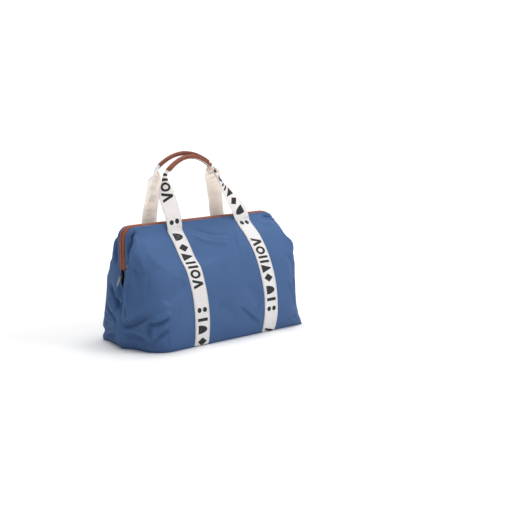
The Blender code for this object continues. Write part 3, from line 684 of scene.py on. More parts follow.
def drape(points, faces, rows, columns):
    """Cloth simulation of the whole shell, held at its base seam, its end slots and its bows."""
    obj = mesh_object("shell_simulation", points, faces)
    index = np.arange(rows * columns).reshape(rows, columns)
    held = np.zeros((2, rows, columns))
    held[:, :2, :] = 1.0
    held[:, -2:, :] = 1.0
    held[:, :, :1] = 0.9
    held[:, :, -1:] = 0.9
    pins = obj.vertex_groups.new(name="pins")
    for weight in (0.9, 1.0):
        chosen = np.concatenate([index[held[k] == weight] + k * index.size for k in range(2)])
        pins.add([int(i) for i in chosen], weight, "REPLACE")
    loose = obj.vertex_groups.new(name="loose")
    endness = 1 - smooth((from_ends(columns) - END_COLUMNS * 0.8) / (CORNER_COLUMNS * 1.6))
    for c in range(columns):
        chosen = [int(i) for i in np.concatenate([index[:, c], index[:, c] + index.size])]
        loose.add(chosen, float(0.3 + 0.7 * endness[c]), "REPLACE")
    cloth = obj.modifiers.new("cloth", "CLOTH")
    for name, value in CLOTH.items():
        setattr(cloth.settings, name, value)
    cloth.settings.effector_weights.gravity = 0.02
    cloth.collision_settings.use_collision = False
    scene = bpy.context.scene
    scene.frame_start, scene.frame_end = 1, SIM_FRAMES
    cloth.point_cache.frame_start, cloth.point_cache.frame_end = 1, SIM_FRAMES
    for number in range(1, SIM_FRAMES + 1):
        scene.frame_set(number)
    graph = bpy.context.evaluated_depsgraph_get()
    moved = np.empty(len(points) * 3)
    obj.evaluated_get(graph).data.vertices.foreach_get("co", moved)
    scene.frame_set(1)
    bpy.data.objects.remove(obj)
    return moved.reshape(-1, 3)


def grid_normals(rows):
    """Unit normals of a surface given as rows of points."""
    along, across = np.gradient(rows, axis=0), np.gradient(rows, axis=1)
    return unit(np.cross(across, along))


def outward(rows, side):
    """Unit normals of a front or rear surface, pointing out of the bag."""
    return grid_normals(rows) * -side


def under_mouth(rows):
    """1 low on the panels, falling to 0 where they are sewn to the bows."""
    return smooth((1 - np.linspace(0, 1, rows)) / 0.16)[None, :, None, None]


def shape_shell():
    """The draped front and rear surfaces, how far the drape moved them, and the share of each hinge line."""
    points, faces, rows, columns, hinge_rows = build_shell_mesh()
    surfaces = points.copy().reshape(2, rows, columns, 3)
    bumps = slack(points).reshape(2, rows, columns)
    fade = smooth(from_ends(rows) / 6)[:, None] * smooth(from_ends(columns) / 5)[None, :]
    for surface, bump, (_, side) in zip(surfaces, bumps, SIDES):
        surface += outward(surface, side) * (bump * fade)[..., None]
    moved = drape(surfaces.reshape(-1, 3), faces, rows, columns)
    shift = moved - points
    length = np.linalg.norm(shift, axis=1, keepdims=True)
    shift *= np.minimum(1.0, MOST_DRAPE / np.maximum(length, 1e-9))
    shift = shift.reshape(2, rows, columns, 3) * under_mouth(rows)
    surfaces = points.reshape(2, rows, columns, 3) + shift
    shifts = surfaces - points.reshape(2, rows, columns, 3)
    words = [word for word, _ in SIDES]
    return dict(zip(words, surfaces)), dict(zip(words, shifts)), dict(zip(words, hinge_rows))


def refine(rows, factor=2):
    """The same surface with more rows and columns, smoothly interpolated."""
    for axis in (0, 1):
        count = rows.shape[axis]
        knots = np.arange(count, dtype=float)
        at = np.linspace(0, count - 1, (count - 1) * factor + 1)
        rows = np.moveaxis(spline(knots, np.moveaxis(rows, axis, 0), at), 0, axis)
    return rows


def bend(obj):
    """Cloth between the shell and a bow, with its placing baked into its mesh."""
    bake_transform(obj)
    return obj


def swing(rows_up, hinge_share):
    """The share of the bow's turn that a height on the panel takes, from 0 at the hinges to 1 at the bow."""
    return smooth((np.asarray(rows_up) - hinge_share) / (1 - hinge_share))


# ---------------------------------------------------------------- ribbons, prints and stitches
def ribbon(name, surface, normals, thickness, lift=0.0):
    """Flat webbing lying on a surface of rows of points: two faces, with rounded selvedges."""
    count, columns = surface.shape[:2]
    across = np.linspace(-1, 1, columns)
    rounding = np.where(np.abs(across) > 0.99, 0.3, 1.0)
    top = surface + normals * (lift + thickness * rounding)[None, :, None]
    bottom = surface + normals * (lift + thickness * (1 - rounding) * 0.5)[None, :, None]
    loops = np.concatenate([top, bottom[:, ::-1]], axis=1)
    along = run(surface.mean(axis=1))
    wide = np.linalg.norm(surface[:, -1] - surface[:, 0], axis=1).max()
    u = np.concatenate([across, across[::-1]]) * max(wide, WEB_WIDTH) / 2
    uvs = np.stack(np.broadcast_arrays(u[None, :], along[:, None]), axis=-1)
    made = grid_object(name, loops, ring=True, uvs=uvs)
    fill_ends(made, columns * 2, count)
    return made


class Cloth:
    """A surface that prints and stitches are laid on: across from -1 to 1, along in metres."""

    def __init__(self, surface, normals, weights):
        self.surface, self.normals = surface, normals
        self.along = run(surface[:, surface.shape[1] // 2])
        self.length = self.along[-1]
        self.weights = weights

    def place(self, across, along, lift):
        rows, columns = self.surface.shape[:2]
        r = np.interp(along, self.along, np.arange(rows))
        c = (np.clip(across, -1, 1) + 1) / 2 * (columns - 1)
        r0 = np.clip(np.floor(r).astype(int), 0, rows - 2)
        c0 = np.clip(np.floor(c).astype(int), 0, columns - 2)
        fr, fc = (r - r0)[:, None], (c - c0)[:, None]

        def mixed(grid):
            near = grid[r0, c0] * (1 - fc) + grid[r0, c0 + 1] * fc
            far = grid[r0 + 1, c0] * (1 - fc) + grid[r0 + 1, c0 + 1] * fc
            return near * (1 - fr) + far * fr

        return mixed(self.surface) + unit(mixed(self.normals)) * lift

    def weight(self, along):
        return np.interp(along, self.along, self.weights)

    def line(self, across, along, lift):
        """A line to stitch along: its points, the surface's normals there and the points' weights."""
        points = self.place(across, along, lift)
        above = self.place(across, along, lift + 0.001)
        return points, (above - points) * 1000, self.weight(along)


def quad_patch(corners, steps):
    """A four-sided patch cut into steps by steps cells, as points and faces."""
    a, b, c, d = (np.asarray(p, float) for p in corners)
    t = np.linspace(0, 1, steps + 1)
    lower = a + (b - a) * t[:, None]
    upper = d + (c - d) * t[:, None]
    rows = lower[None] + (upper - lower)[None] * t[:, None, None]
    return rows.reshape(-1, 2), grid_faces(steps + 1, steps + 1)


def arc_patch(centre, radii, hole, start, stop, steps):
    """A sector of an oval, from a share of its radii out to the radii."""
    turn = np.radians(np.linspace(start, stop, steps + 1))
    rays = np.stack([np.cos(turn), np.sin(turn)], axis=1) * radii
    rings = [np.asarray(centre) + rays * r for r in np.linspace(hole, 1, 4)]
    return np.concatenate(rings), grid_faces(4, steps + 1)


def bar_patch(low, high):
    return quad_patch([(-1, low), (1, low), (1, high), (-1, high)], 6)


# The generic marks of the print, as patches of points: shares of half a mark's height, and of its length.
BAR, TWO_BARS = [bar_patch(0.3, 0.7)], [bar_patch(0.02, 0.34), bar_patch(0.64, 0.96)]
TRIANGLE = [quad_patch([(-1, -0.05), (1, 0.44), (1, 0.56), (-1, 1.05)], 7)]
DIAMOND = [quad_patch([(-0.95, 0.5), (0.0, -0.05), (0.95, 0.5), (0.0, 1.05)], 7)]
CHEVRON = [
    quad_patch([(-1, -0.1), (-1, 0.24), (1, 0.67), (1, 0.33)], 7),
    quad_patch([(1, 0.33), (1, 0.67), (-1, 1.1), (-1, 0.76)], 7),
]
RING = [arc_patch((0.0, 0.5), (1.0, 0.56), 0.52, 0, 360, 36)]
HALF_DISC = [arc_patch((-0.9, 0.5), (1.8, 0.56), 0.02, -90, 90, 20)]
DOTS = [arc_patch((x, 0.5), (0.42, 0.32), 0.02, 0, 360, 18) for x in (-0.56, 0.56)]
GAP, WIDE_GAP = 0.0075, 0.043
MARKS = (CHEVRON, RING, TWO_BARS, TRIANGLE, DIAMOND, GAP, HALF_DISC, BAR, DOTS, WIDE_GAP)
MARK_LENGTH, MARK_HALF, MARK_SPACE = 0.0215, 0.0165, 0.005


def print_marks(name, cloth, phase, first, step, lift):
    """The row of marks along a strap, laid just over its outer face. Step -1 runs the row backwards."""
    points, faces, weights, uvs = [], [], [], []
    along, number = phase, first
    while along + MARK_LENGTH < cloth.length - 0.002:
        mark = MARKS[number % len(MARKS)]
        number += step
        if isinstance(mark, float):
            along += mark
            continue
        for flat, patch in mark:
            across = flat[:, 0] * MARK_HALF
            down = along + flat[:, 1] * MARK_LENGTH
            base = len(points)
            points.extend(cloth.place(across / (WEB_WIDTH / 2), down, lift))
            uvs.extend(np.column_stack([across, down]))
            faces.extend([tuple(i + base for i in face) for face in patch])
            weights.extend(cloth.weight(down))
        along += MARK_LENGTH + MARK_SPACE
    made = mesh_object(name, points, faces, np.asarray(uvs))
    paint(made, INK)
    return made, weights


def stitch_shape(length, radius):
    """One stitch as a small spindle along X."""
    points, faces, sides = [], [], 6
    for x, r in ((-0.5, 0.25), (-0.3, 0.9), (0.3, 0.9), (0.5, 0.25)):
        for k in range(sides):
            a = 2 * math.pi * k / sides
            points.append((x * length, r * radius * math.cos(a), r * radius * math.sin(a)))
    for ring in range(3):
        for k in range(sides):
            a, b = ring * sides + k, ring * sides + (k + 1) % sides
            faces.append((a, b, b + sides, a + sides))
    faces += [tuple(range(sides))[::-1], tuple(range(3 * sides, 4 * sides))]
    return np.asarray(points), faces


def stitches(name, lines, material, length=0.0026, pitch=0.0036, radius=0.00028):
    """Stitches along lines. Each line is (points, surface normals) or (points, normals, weights)."""
    shape, shape_faces = stitch_shape(length, radius)
    points, faces, weights = [], [], []
    for path, normals, *shares in lines:
        steps = run(path)
        count = int(steps[-1] / pitch)
        at = (np.arange(count) + 0.5) * pitch
        centre = points_at(at, steps, path)
        forward = unit(points_at(at + length / 2, steps, path) - centre)
        sideways = unit(np.cross(points_at(at, steps, normals), forward))
        up = np.cross(forward, sideways)
        share = np.interp(at, steps, shares[0]) if shares else np.zeros(count)
        for i in range(count):
            base = len(points)
            points.extend(centre[i] + shape @ np.stack([forward[i], sideways[i], up[i]]))
            weights.extend([share[i]] * len(shape))
            faces.extend([tuple(k + base for k in face) for face in shape_faces])
    made = mesh_object(name, points, faces)
    paint(made, material)
    return made, weights


# ---------------------------------------------------------------- creases pressed into the draped shell
# Each: side, points along it, width, depth (negative stands out), and how much sharper its lower side is.
CREASES = (
    # beside the front hem at the left corner: a pleat, and the panel bulging over it
    (FRONT, ((-0.25, -0.03, 0.314), (-0.27, -0.032, 0.298), (-0.275, -0.033, 0.26), (-0.276, -0.03, 0.222)),
     0.005, 0.02, 1.0),
    (FRONT, ((-0.262, -0.046, 0.3), (-0.273, -0.046, 0.275), (-0.275, -0.044, 0.245), (-0.275, -0.04, 0.212)),
     0.009, -0.01, 1.0),
    (REAR, ((-0.265, 0.032, 0.308), (-0.275, 0.032, 0.26), (-0.276, 0.028, 0.22)), 0.006, 0.008, 1.0),
    # the end panel drawn in along its seam, under the zip's foot
    (FRONT, ((-0.276, -0.004, 0.185), (-0.286, -0.004, 0.15), (-0.292, -0.004, 0.11),
             (-0.296, -0.004, 0.078)),
     0.007, 0.0075, 1.0),
    (REAR, ((-0.276, 0.004, 0.185), (-0.286, 0.004, 0.15), (-0.292, 0.004, 0.11), (-0.296, 0.004, 0.078)),
     0.007, 0.009, 1.0),
    (FRONT, ((-0.276, -0.022, 0.2), (-0.284, -0.022, 0.16), (-0.288, -0.02, 0.12), (-0.292, -0.016, 0.09)),
     0.009, -0.005, 1.0),
    (REAR, ((-0.27, 0.062, 0.164), (-0.275, 0.044, 0.14), (-0.285, 0.022, 0.118), (-0.292, 0.012, 0.098)),
     0.0085, 0.017, 1.6),
    (REAR, ((-0.268, 0.074, 0.142), (-0.276, 0.054, 0.114), (-0.287, 0.03, 0.094), (-0.297, 0.008, 0.076)),
     0.006, -0.006, 1.0),
    (REAR, ((-0.27, 0.088, 0.112), (-0.279, 0.054, 0.086), (-0.296, 0.008, 0.068)), 0.0048, 0.008, 1.2),
    (REAR, ((-0.268, 0.1, 0.086), (-0.279, 0.056, 0.066), (-0.296, 0.01, 0.06)), 0.0055, -0.0055, 1.0),
    # the tuck below it, down to the floor, and the flattened corner that lies out on the floor
    (REAR, ((-0.298, 0.004, 0.064), (-0.294, 0.012, 0.036), (-0.286, 0.024, 0.008)), 0.004, 0.011, 2.2),
    (REAR, ((-0.298, 0.008, 0.06), (-0.284, 0.044, 0.04), (-0.268, 0.095, 0.016)), 0.006, -0.0065, 1.0),
    (REAR, ((-0.29, 0.034, 0.03), (-0.276, 0.064, 0.02), (-0.268, 0.094, 0.014)), 0.006, 0.005, 1.3),
    (REAR, ((-0.274, 0.066, 0.04), (-0.266, 0.106, 0.028), (-0.238, 0.126, 0.024)), 0.009, 0.005, 1.0),
    # creases that run from the end seam across the front left corner
    (FRONT, ((-0.297, -0.008, 0.064), (-0.283, -0.034, 0.068), (-0.273, -0.066, 0.085),
             (-0.263, -0.1, 0.104)),
     0.01, 0.0095, 1.5),
    (FRONT, ((-0.296, -0.01, 0.082), (-0.282, -0.036, 0.09), (-0.272, -0.066, 0.108),
             (-0.258, -0.108, 0.128)),
     0.009, -0.006, 1.0),
    (FRONT, ((-0.222, -0.131, 0.098), (-0.247, -0.122, 0.083), (-0.262, -0.106, 0.077),
             (-0.271, -0.088, 0.08)),
     0.006, 0.008, 1.8),
    (FRONT, ((-0.222, -0.131, 0.11), (-0.247, -0.122, 0.096), (-0.264, -0.104, 0.091)), 0.008, -0.0055, 1.0),
    (FRONT, ((-0.269, -0.095, 0.082), (-0.268, -0.096, 0.055), (-0.26, -0.1, 0.03)), 0.0065, 0.008, 1.0),
    (FRONT, ((-0.225, -0.13, 0.064), (-0.252, -0.115, 0.045), (-0.26, -0.1, 0.022)), 0.0058, 0.0075, 1.4),
    (FRONT, ((-0.15, -0.112, 0.18), (-0.202, -0.117, 0.152), (-0.236, -0.12, 0.128)), 0.016, 0.0055, 1.2),
    (FRONT, ((-0.296, -0.012, 0.042), (-0.272, -0.062, 0.036), (-0.24, -0.104, 0.022)), 0.009, 0.0075, 1.0),
    (FRONT, ((-0.282, -0.04, 0.058), (-0.272, -0.072, 0.058), (-0.264, -0.096, 0.05)), 0.008, -0.0045, 1.0),
    # the long front: one sharp diagonal by the right strap, and soft pulls under the mouth
    (FRONT, ((0.004, -0.139, 0.094), (0.049, -0.137, 0.058), (0.098, -0.131, 0.022)), 0.0036, 0.0055, 1.8),
    (FRONT, ((-0.098, -0.036, 0.3), (-0.04, -0.058, 0.268), (0.04, -0.07, 0.25)), 0.006, -0.0032, 1.0),
    (FRONT, ((-0.07, -0.032, 0.304), (-0.01, -0.05, 0.28), (0.05, -0.056, 0.272)), 0.005, 0.0026, 1.0),
    (FRONT, ((0.088, -0.034, 0.302), (0.064, -0.06, 0.268), (0.052, -0.086, 0.23)), 0.006, -0.003, 1.0),
    (FRONT, ((0.03, -0.122, 0.15), (0.07, -0.134, 0.112), (0.086, -0.136, 0.07)), 0.015, 0.0035, 1.0),
    (FRONT, ((-0.08, -0.13, 0.11), (-0.03, -0.136, 0.084), (0.0, -0.136, 0.05)), 0.014, 0.003, 1.0),
    # the pinched corner and the loose end on the right
    (FRONT, ((0.19, -0.028, 0.313), (0.222, -0.03, 0.309), (0.24, -0.03, 0.303)), 0.004, 0.01, 1.6),
    (FRONT, ((0.17, -0.04, 0.3), (0.2, -0.044, 0.295), (0.222, -0.046, 0.29)), 0.0075, -0.0035, 1.0),
    (FRONT, ((0.206, -0.1, 0.214), (0.222, -0.114, 0.18), (0.226, -0.12, 0.14)), 0.009, 0.003, 1.0),
    (FRONT, ((0.196, -0.124, 0.15), (0.218, -0.126, 0.1), (0.236, -0.122, 0.05)), 0.009, -0.0035, 1.0),
    (FRONT, ((0.214, -0.122, 0.15), (0.23, -0.12, 0.106), (0.244, -0.112, 0.056)), 0.007, 0.0035, 1.0),
    (FRONT, ((0.214, -0.132, 0.034), (0.238, -0.124, 0.024), (0.256, -0.108, 0.022)), 0.007, 0.0045, 1.3),
    (FRONT, ((0.268, -0.04, 0.17), (0.276, -0.05, 0.13), (0.282, -0.04, 0.09)), 0.011, 0.007, 1.0),
    (REAR, ((0.262, 0.04, 0.18), (0.274, 0.05, 0.14), (0.282, 0.03, 0.1)), 0.011, 0.008, 1.0),
    (FRONT, ((0.284, -0.004, 0.15), (0.292, -0.004, 0.09), (0.294, -0.004, 0.05)), 0.008, 0.0065, 1.0),
    (REAR, ((0.284, 0.004, 0.15), (0.292, 0.004, 0.09), (0.294, 0.004, 0.05)), 0.008, 0.0065, 1.0),
    # the rear, as loosely packed as the front
    (REAR, ((-0.21, 0.118, 0.18), (-0.16, 0.136, 0.13), (-0.13, 0.14, 0.08)), 0.011, 0.006, 1.3),
    (REAR, ((0.25, 0.1, 0.12), (0.215, 0.124, 0.095), (0.17, 0.13, 0.09)), 0.0065, 0.0085, 1.6),
    (REAR, ((0.252, 0.1, 0.076), (0.22, 0.122, 0.06), (0.19, 0.126, 0.03)), 0.006, 0.0065, 1.4),
    (REAR, ((0.256, 0.096, 0.1), (0.226, 0.118, 0.078), (0.18, 0.13, 0.074)), 0.008, -0.005, 1.0),
    (REAR, ((-0.06, 0.06, 0.27), (-0.01, 0.08, 0.24), (0.06, 0.08, 0.235)), 0.007, -0.0035, 1.0),
    (REAR, ((0.06, 0.062, 0.262), (0.11, 0.06, 0.262), (0.17, 0.046, 0.276)), 0.007, 0.0035, 1.0),
    (REAR, ((0.04, 0.13, 0.06), (0.0, 0.134, 0.036), (-0.04, 0.13, 0.018)), 0.0042, 0.005, 1.6),
)


def along_line(points, knots, steps=40):
    """For each point, its nearest place on a smooth line, how far along that is, and the direction there."""
    knots = np.asarray(knots, float)
    at = np.linspace(0, len(knots) - 1, steps)
    line = spline(np.arange(len(knots)), knots, at)
    gaps = ((points[:, None, :] - line[None]) ** 2).sum(axis=2)
    nearest = gaps.argmin(axis=1)
    return line[nearest], nearest / (steps - 1), unit(np.gradient(line, axis=0))[nearest]


def crease_depths(rows, side):
    """A surface, its normals, and how deep its creases press it in. A crease fades out at both ends."""
    shape = rows.shape
    points, normals = rows.reshape(-1, 3), outward(rows, side).reshape(-1, 3)
    share_up = np.repeat(np.linspace(0, 1, shape[0]), shape[1])
    held = smooth((1 - share_up) / 0.035) * smooth(share_up / 0.02)
    total = np.zeros(len(points))
    for crease_side, knots, width, depth, sharper in CREASES:
        if crease_side != side:
            continue
        low, high = np.min(knots, axis=0) - 0.05, np.max(knots, axis=0) + 0.05
        near = np.flatnonzero(((points > low) & (points < high)).all(axis=1))
        if not len(near):
            continue
        place, share, tangent = along_line(points[near], knots)
        off = points[near] - place
        across = np.cross(normals[near], tangent)
        off -= normals[near] * (off * normals[near]).sum(axis=1, keepdims=True) * 0.6
        below = (off * across).sum(axis=1) * np.sign(across[:, 2]) < 0
        reach = np.linalg.norm(off, axis=1) / np.where(below, width / sharper, width * sharper**0.5)
        ends = smooth(share / 0.22) * smooth((1 - share) / 0.22)
        lip = 0.28 * np.exp(-((reach - 2.0) ** 2)) if depth > 0 else 0.0
        total[near] += depth * (np.exp(-(reach**2)) - lip) * ends
    return points.reshape(shape), normals.reshape(shape), (total * held).reshape(shape[:2])


SEAM_FADE = 9  # columns over which a crease settles to the depth that both halves share at an end seam


def level_ends(front, rear, heights):
    """Both halves press their end seams in by the same depth, and not at all beside the zip's slots."""
    closed = smooth((SLOT_Z[1] - heights) / 0.02)
    for column, step in ((0, 1), (-1, -1)):
        shared = (front[:, column] + rear[:, column]) / 2 * closed[:, column]
        for depths in (front, rear):
            for k in range(SEAM_FADE):
                share = smooth(k / SEAM_FADE)
                at = column + step * k
                depths[:, at] = shared * (1 - share) + depths[:, at] * share


def even_ends(front, rear):
    """Both halves share their end seams below the zip's slots, so the creases leave no gap there."""
    for column in (0, -1):
        middle = (front[:, column] + rear[:, column]) / 2
        half = np.abs(rear[:, column, 1] - front[:, column, 1]) / 2
        above = np.arange(len(front))[:, None] > 0
        for rows, side in ((front, FRONT), (rear, REAR)):
            seam = middle + np.stack([half * 0, side * half, half * 0], axis=1)
            lower = front[:, column, 2:3] < SLOT_Z[0] + 0.03
            rows[:, column] = np.where(above & lower, seam, rows[:, column])


def press_creases(draped):
    """The finished surfaces with their creases, and how deep each point is pressed in."""
    surfaces, normals, depths = {}, {}, {}
    for word, side in SIDES:
        surfaces[word], normals[word], depths[word] = crease_depths(refine(draped[word]), side)
    level_ends(depths["front"], depths["rear"], surfaces["front"][:, :, 2])
    pressed = {word: surfaces[word] - normals[word] * depths[word][..., None] for word, _ in SIDES}
    even_ends(pressed["front"], pressed["rear"])
    return pressed, depths


COARSE, SHIFTS, HINGE_SHARE = shape_shell()
SHELL, PRESSED = press_creases(COARSE)
SHELL_SKIN = 0.0011


def build_panel(word, side):
    rows = SHELL[word]
    panel = grid_object(f"{word}_shell", rows, flip=side == REAR)
    bend(panel)
    thicken(panel, SHELL_SKIN, -1)
    paint(panel, CANVAS)
    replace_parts(panel, f"{word}_panel_lower", f"{word}_panel_upper")


for word, side in SIDES:
    build_panel(word, side)


# ---------------------------------------------------------------- lining
LINING_INSET, LINING_END_INSET, LINING_EDGE_Y = 0.0048, 0.0185, 0.019
LINING_LEG_INSET, LINING_BAR_INSET, LINING_LOW, LINING_SKIN = 0.0165, 0.0068, 0.0068, 0.0008
LEAST_GAP, MOST_PUSH = 0.0045, 0.012
PUSH_REACH = 5  # rows and columns over which a crease pushes the lining in
EDGE_SLACK = 0.0012  # a point this far off to the side of its nearest place is past the shell's edge


def shell_tree(word):
    rows = SHELL[word]
    points = [tuple(p) for p in rows.reshape(-1, 3)]
    return BVHTree.FromPolygons(points, grid_faces(*rows.shape[:2], flip=word == "rear"))


TREES = {word: shell_tree(word) for word, _ in SIDES}


def widest(values, reach):
    """Each value of a grid replaced by the largest within reach rows and columns of it."""
    for axis in (0, 1):
        padded = np.pad(values, [(reach, reach) if k == axis else (0, 0) for k in (0, 1)], mode="edge")
        count = values.shape[axis]
        windows = [np.take(padded, range(k, k + count), axis=axis) for k in range(2 * reach + 1)]
        values = np.max(windows, axis=0)
    return values


def keep_inside(rows, tree):
    """The rows, with each point that would come too near the shell's outside moved further in."""
    flat = rows.reshape(-1, 3).copy()
    for i, point in enumerate(flat):
        nearest, normal, _, distance = tree.find_nearest(point)
        depth = (nearest - Vector(point)).dot(normal)
        beyond_edge = distance**2 - depth**2 > (EDGE_SLACK + 0.3 * abs(depth)) ** 2
        if depth < LEAST_GAP and distance < MOST_PUSH and not beyond_edge:
            flat[i] = nearest - normal * LEAST_GAP
    return flat.reshape(rows.shape)


def inward(rows, side):
    """Which way the lining is set back: straight off the long side, and endways at the end panels."""
    share = smooth((from_ends(rows.shape[1]) - END_COLUMNS * 0.8) / 8)[None, :, None]
    endways = -np.sign(rows) * (1, 0, 0)
    return unit(endways * (1 - share) - outward(rows, side) * share)


def build_lining(word, side):
    """The lining follows its panel's folds, a little inside it, and is sewn under the hem."""
    rows, hinge = shell_rows(side, LINING_INSET, LINING_END_INSET, LINING_EDGE_Y, LINING_LEG_INSET)
    bar = mouth_line(LINING_BAR_INSET, side * LINING_EDGE_Y, HEM_FOOT)
    share_up = np.linspace(0, 1, len(rows))[:, None, None]
    raised = long_side(rows.shape[1])[None, :, None] * smooth((share_up - 0.8) / 0.2)
    rows = rows + (bar[None] - rows[-1][None]) * raised
    rows = rows + SHIFTS[word]
    pushed = np.minimum(widest(np.maximum(PRESSED[word], 0.0), PUSH_REACH)[::2, ::2], MOST_PUSH)
    pushed = relax(relax(pushed, 3).T, 3).T
    rows = rows + inward(rows, side) * pushed[..., None]
    for _ in range(3):
        rows = keep_inside(relax(relax(rows, 1).swapaxes(0, 1), 1).swapaxes(0, 1), TREES[word])
    rows[:, :, 2] = np.maximum(rows[:, :, 2], LINING_LOW)
    lining = grid_object(f"{word}_lining", rows, flip=side == FRONT)
    bend(lining)
    thicken(lining, LINING_SKIN, 1)
    paint(lining, LINING)
    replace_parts(lining, f"{word}_lining_lower", f"{word}_lining_upper")


for word, side in SIDES:
    build_lining(word, side)


# ---------------------------------------------------------------- webbing straps sewn to the panels
STRAP_HALF_SPAN = 0.1215
STRAP_DRIFT = {FRONT: (0.008, -0.006), REAR: (-0.01, -0.046)}
STRAP_LOW, STRAP_TOP = 0.0012, 0.3118
EDGE_STITCHES, THREAD_LIFT = (-0.9, 0.9), 0.00008  # across a strap, from edge to edge -1 to 1
STRAP_ROWS, STRAP_COLUMNS = 150, 13
STRAP_LIFT = 0.0005
# A strap leaves the panel for the handle above the first height, and tucks under below the second.
STRAP_LEAVES, STRAP_TUCK = 0.288, 0.01
ENDS = (("left", LEFT), ("right", RIGHT))


def strap_x(side, end, z):
    low, high = STRAP_DRIFT[side]
    return end * STRAP_HALF_SPAN + low + (high - low) * min(1.0, z / HANDLE_AXIS_Z)


def strap_surface(word, side, end, tree):
    """Where a strap lies: rows from the base up, and the share of the bow's turn that each row takes."""
    rows = SHELL[word]
    count, columns = rows.shape[:2]
    heights = np.linspace(STRAP_LOW, STRAP_TOP, STRAP_ROWS)
    surface = np.zeros((STRAP_ROWS, STRAP_COLUMNS, 3))
    shares = np.ones(STRAP_ROWS)
    for r, z in enumerate(heights):
        ups = []
        for c, across in enumerate(np.linspace(-0.5, 0.5, STRAP_COLUMNS)):
            x = strap_x(side, end, z) + across * WEB_WIDTH
            height = min(max(z, rows[0, :, 2].max() + 0.0003), 0.315)
            place, _, index, _ = tree.ray_cast((x, side * 0.4, height), (0, -side, 0))
            if place is None:
                place = Vector((x, side * PANEL_EDGE_Y, z))
            else:
                ups.append(index // (columns - 1) / (count - 1))
            surface[r, c] = (x, place[1], z)
        shares[r] = swing(np.mean(ups), HINGE_SHARE[word]) if ups else 1.0
    relax(surface[:, :, 1], 10)
    surface[:, :, 1] = relax(surface[:, :, 1].T.copy(), 6).T
    up_to_handle = smooth((heights - STRAP_LEAVES) / (HANDLE_AXIS_Z - STRAP_LEAVES))[:, None]
    seat = HANDLE_AXIS_Y - WEB_THICK / 2 - STRAP_LIFT
    off_shell = side * surface[:, :, 1]
    surface[:, :, 1] = side * np.maximum(off_shell, off_shell + (seat - off_shell) * up_to_handle)
    tuck = smooth((STRAP_TUCK - heights) / STRAP_TUCK)[:, None]
    surface[:, :, 1] -= side * 0.0018 * tuck
    return surface, relax(np.maximum.accumulate(shares), 8)


def stitch_box(cloth, low, high, half, lift):
    """A rectangle of stitches with a cross in it, over a strap."""
    a, b, c, d = (-half, low), (half, low), (half, high), (-half, high)
    runs = ((a, b), (b, c), (c, d), (d, a), (a, c), (b, d))
    lines = []
    for (xa, ya), (xb, yb) in runs:
        lines.append(cloth.line(np.linspace(xa, xb, 24) / (WEB_WIDTH / 2), np.linspace(ya, yb, 24), lift))
    return lines


def build_strap(word, side, tag, end, tree):
    surface, shares = strap_surface(word, side, end, tree)
    normals = outward(surface, side)
    name = f"{word}_strap_{tag}"
    strap = ribbon(name, surface, normals, WEB_THICK, STRAP_LIFT)
    bend(strap)
    paint(strap, WEBBING)
    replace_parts(strap, f"{name}_lower", f"{name}_upper")
    cloth = Cloth(surface, normals, shares)
    face = STRAP_LIFT + WEB_THICK
    marks, weights = print_marks(f"{name}_print", cloth, *PRINT_PHASE[side, end], lift=face + 0.00012)
    bend(marks)
    along = np.linspace(0.002, cloth.length - 0.001, 160)
    lines = [cloth.line(np.full(160, across), along, face + THREAD_LIFT) for across in EDGE_STITCHES]
    top = cloth.length - 0.012
    lines += stitch_box(cloth, top - 0.034, top, 0.019, face + THREAD_LIFT)
    sewing, weights = stitches(f"{name}_stitching", lines, CREAM_THREAD)
    bend(sewing)


# Where each strap's row of marks starts, in metres up the strap, and with which mark.
PRINT_PHASE = {
    (FRONT, LEFT): (0.002, 4, 1), (FRONT, RIGHT): (-0.009, 0, -1),
    (REAR, LEFT): (0.012, 2, -1), (REAR, RIGHT): (0.004, 7, 1),
}

for word, side in SIDES:
    for tag, end in ENDS:
        build_strap(word, side, tag, end, TREES[word])


# ---------------------------------------------------------------- mouth: hems, piping, zip
HEM_PATH_INSET, HEM_Y, HEM_HALF_WIDTH, HEM_HALF_THICK, HEM_LOW = 0.0015, 0.0165, 0.0063, 0.0034, 0.215
PIPING_Y = 0.0056
TEETH_INSET, TEETH_Y, TEETH_FOOT, TEETH_PITCH = 0.0043, 0.0017, 0.201, 0.0021
TAPE_INSET, TAPE_NEAR, TAPE_FAR, TAPE_THICK = 0.005, 0.003, 0.01, 0.0005


def plain_path(inset, y, foot, spacing):
    return resample(mouth_line(inset, y, foot, 30, 30, 120), spacing)


def pinned(section, path, seed, amount):
    """The section at each point of the path, slightly uneven, as gathered cloth is."""
    _, normals = path_frames(path)
    uneven = 1 + amount * lattice_noise(path, 0.012, seed)
    rows = path[:, None, :] + np.zeros((1, len(section), 3))
    rows[:, :, 1] += section[None, :, 0] * uneven[:, None]
    rows += normals[:, None, :] * (section[:, 1] * uneven[:, None])[..., None]
    return rows


def build_hem(word, side):
    path = plain_path(HEM_PATH_INSET, side * HEM_Y, HEM_LOW, 0.004)
    rows = pinned(oval(HEM_HALF_WIDTH, HEM_HALF_THICK, 20), path, 21 + side, 0.1)
    hem = grid_object(f"{word}_hem_cover", rows, ring=True)
    fill_ends(hem, 20, len(path))
    paint(hem, CANVAS)
    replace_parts(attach(hem, f"{word}_bow"), f"{word}_hem")
    _, normals = path_frames(path)
    lines = []
    for offset in (-0.0042, 0.0042):
        line = path + np.array([0, offset, 0]) + normals * (HEM_HALF_THICK * 0.8)
        lines.append((line, normals))
    sewing, _ = stitches(f"{word}_hem_stitching", lines, BLUE_THREAD, 0.0028, 0.004, 0.0003)
    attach(sewing, f"{word}_bow")


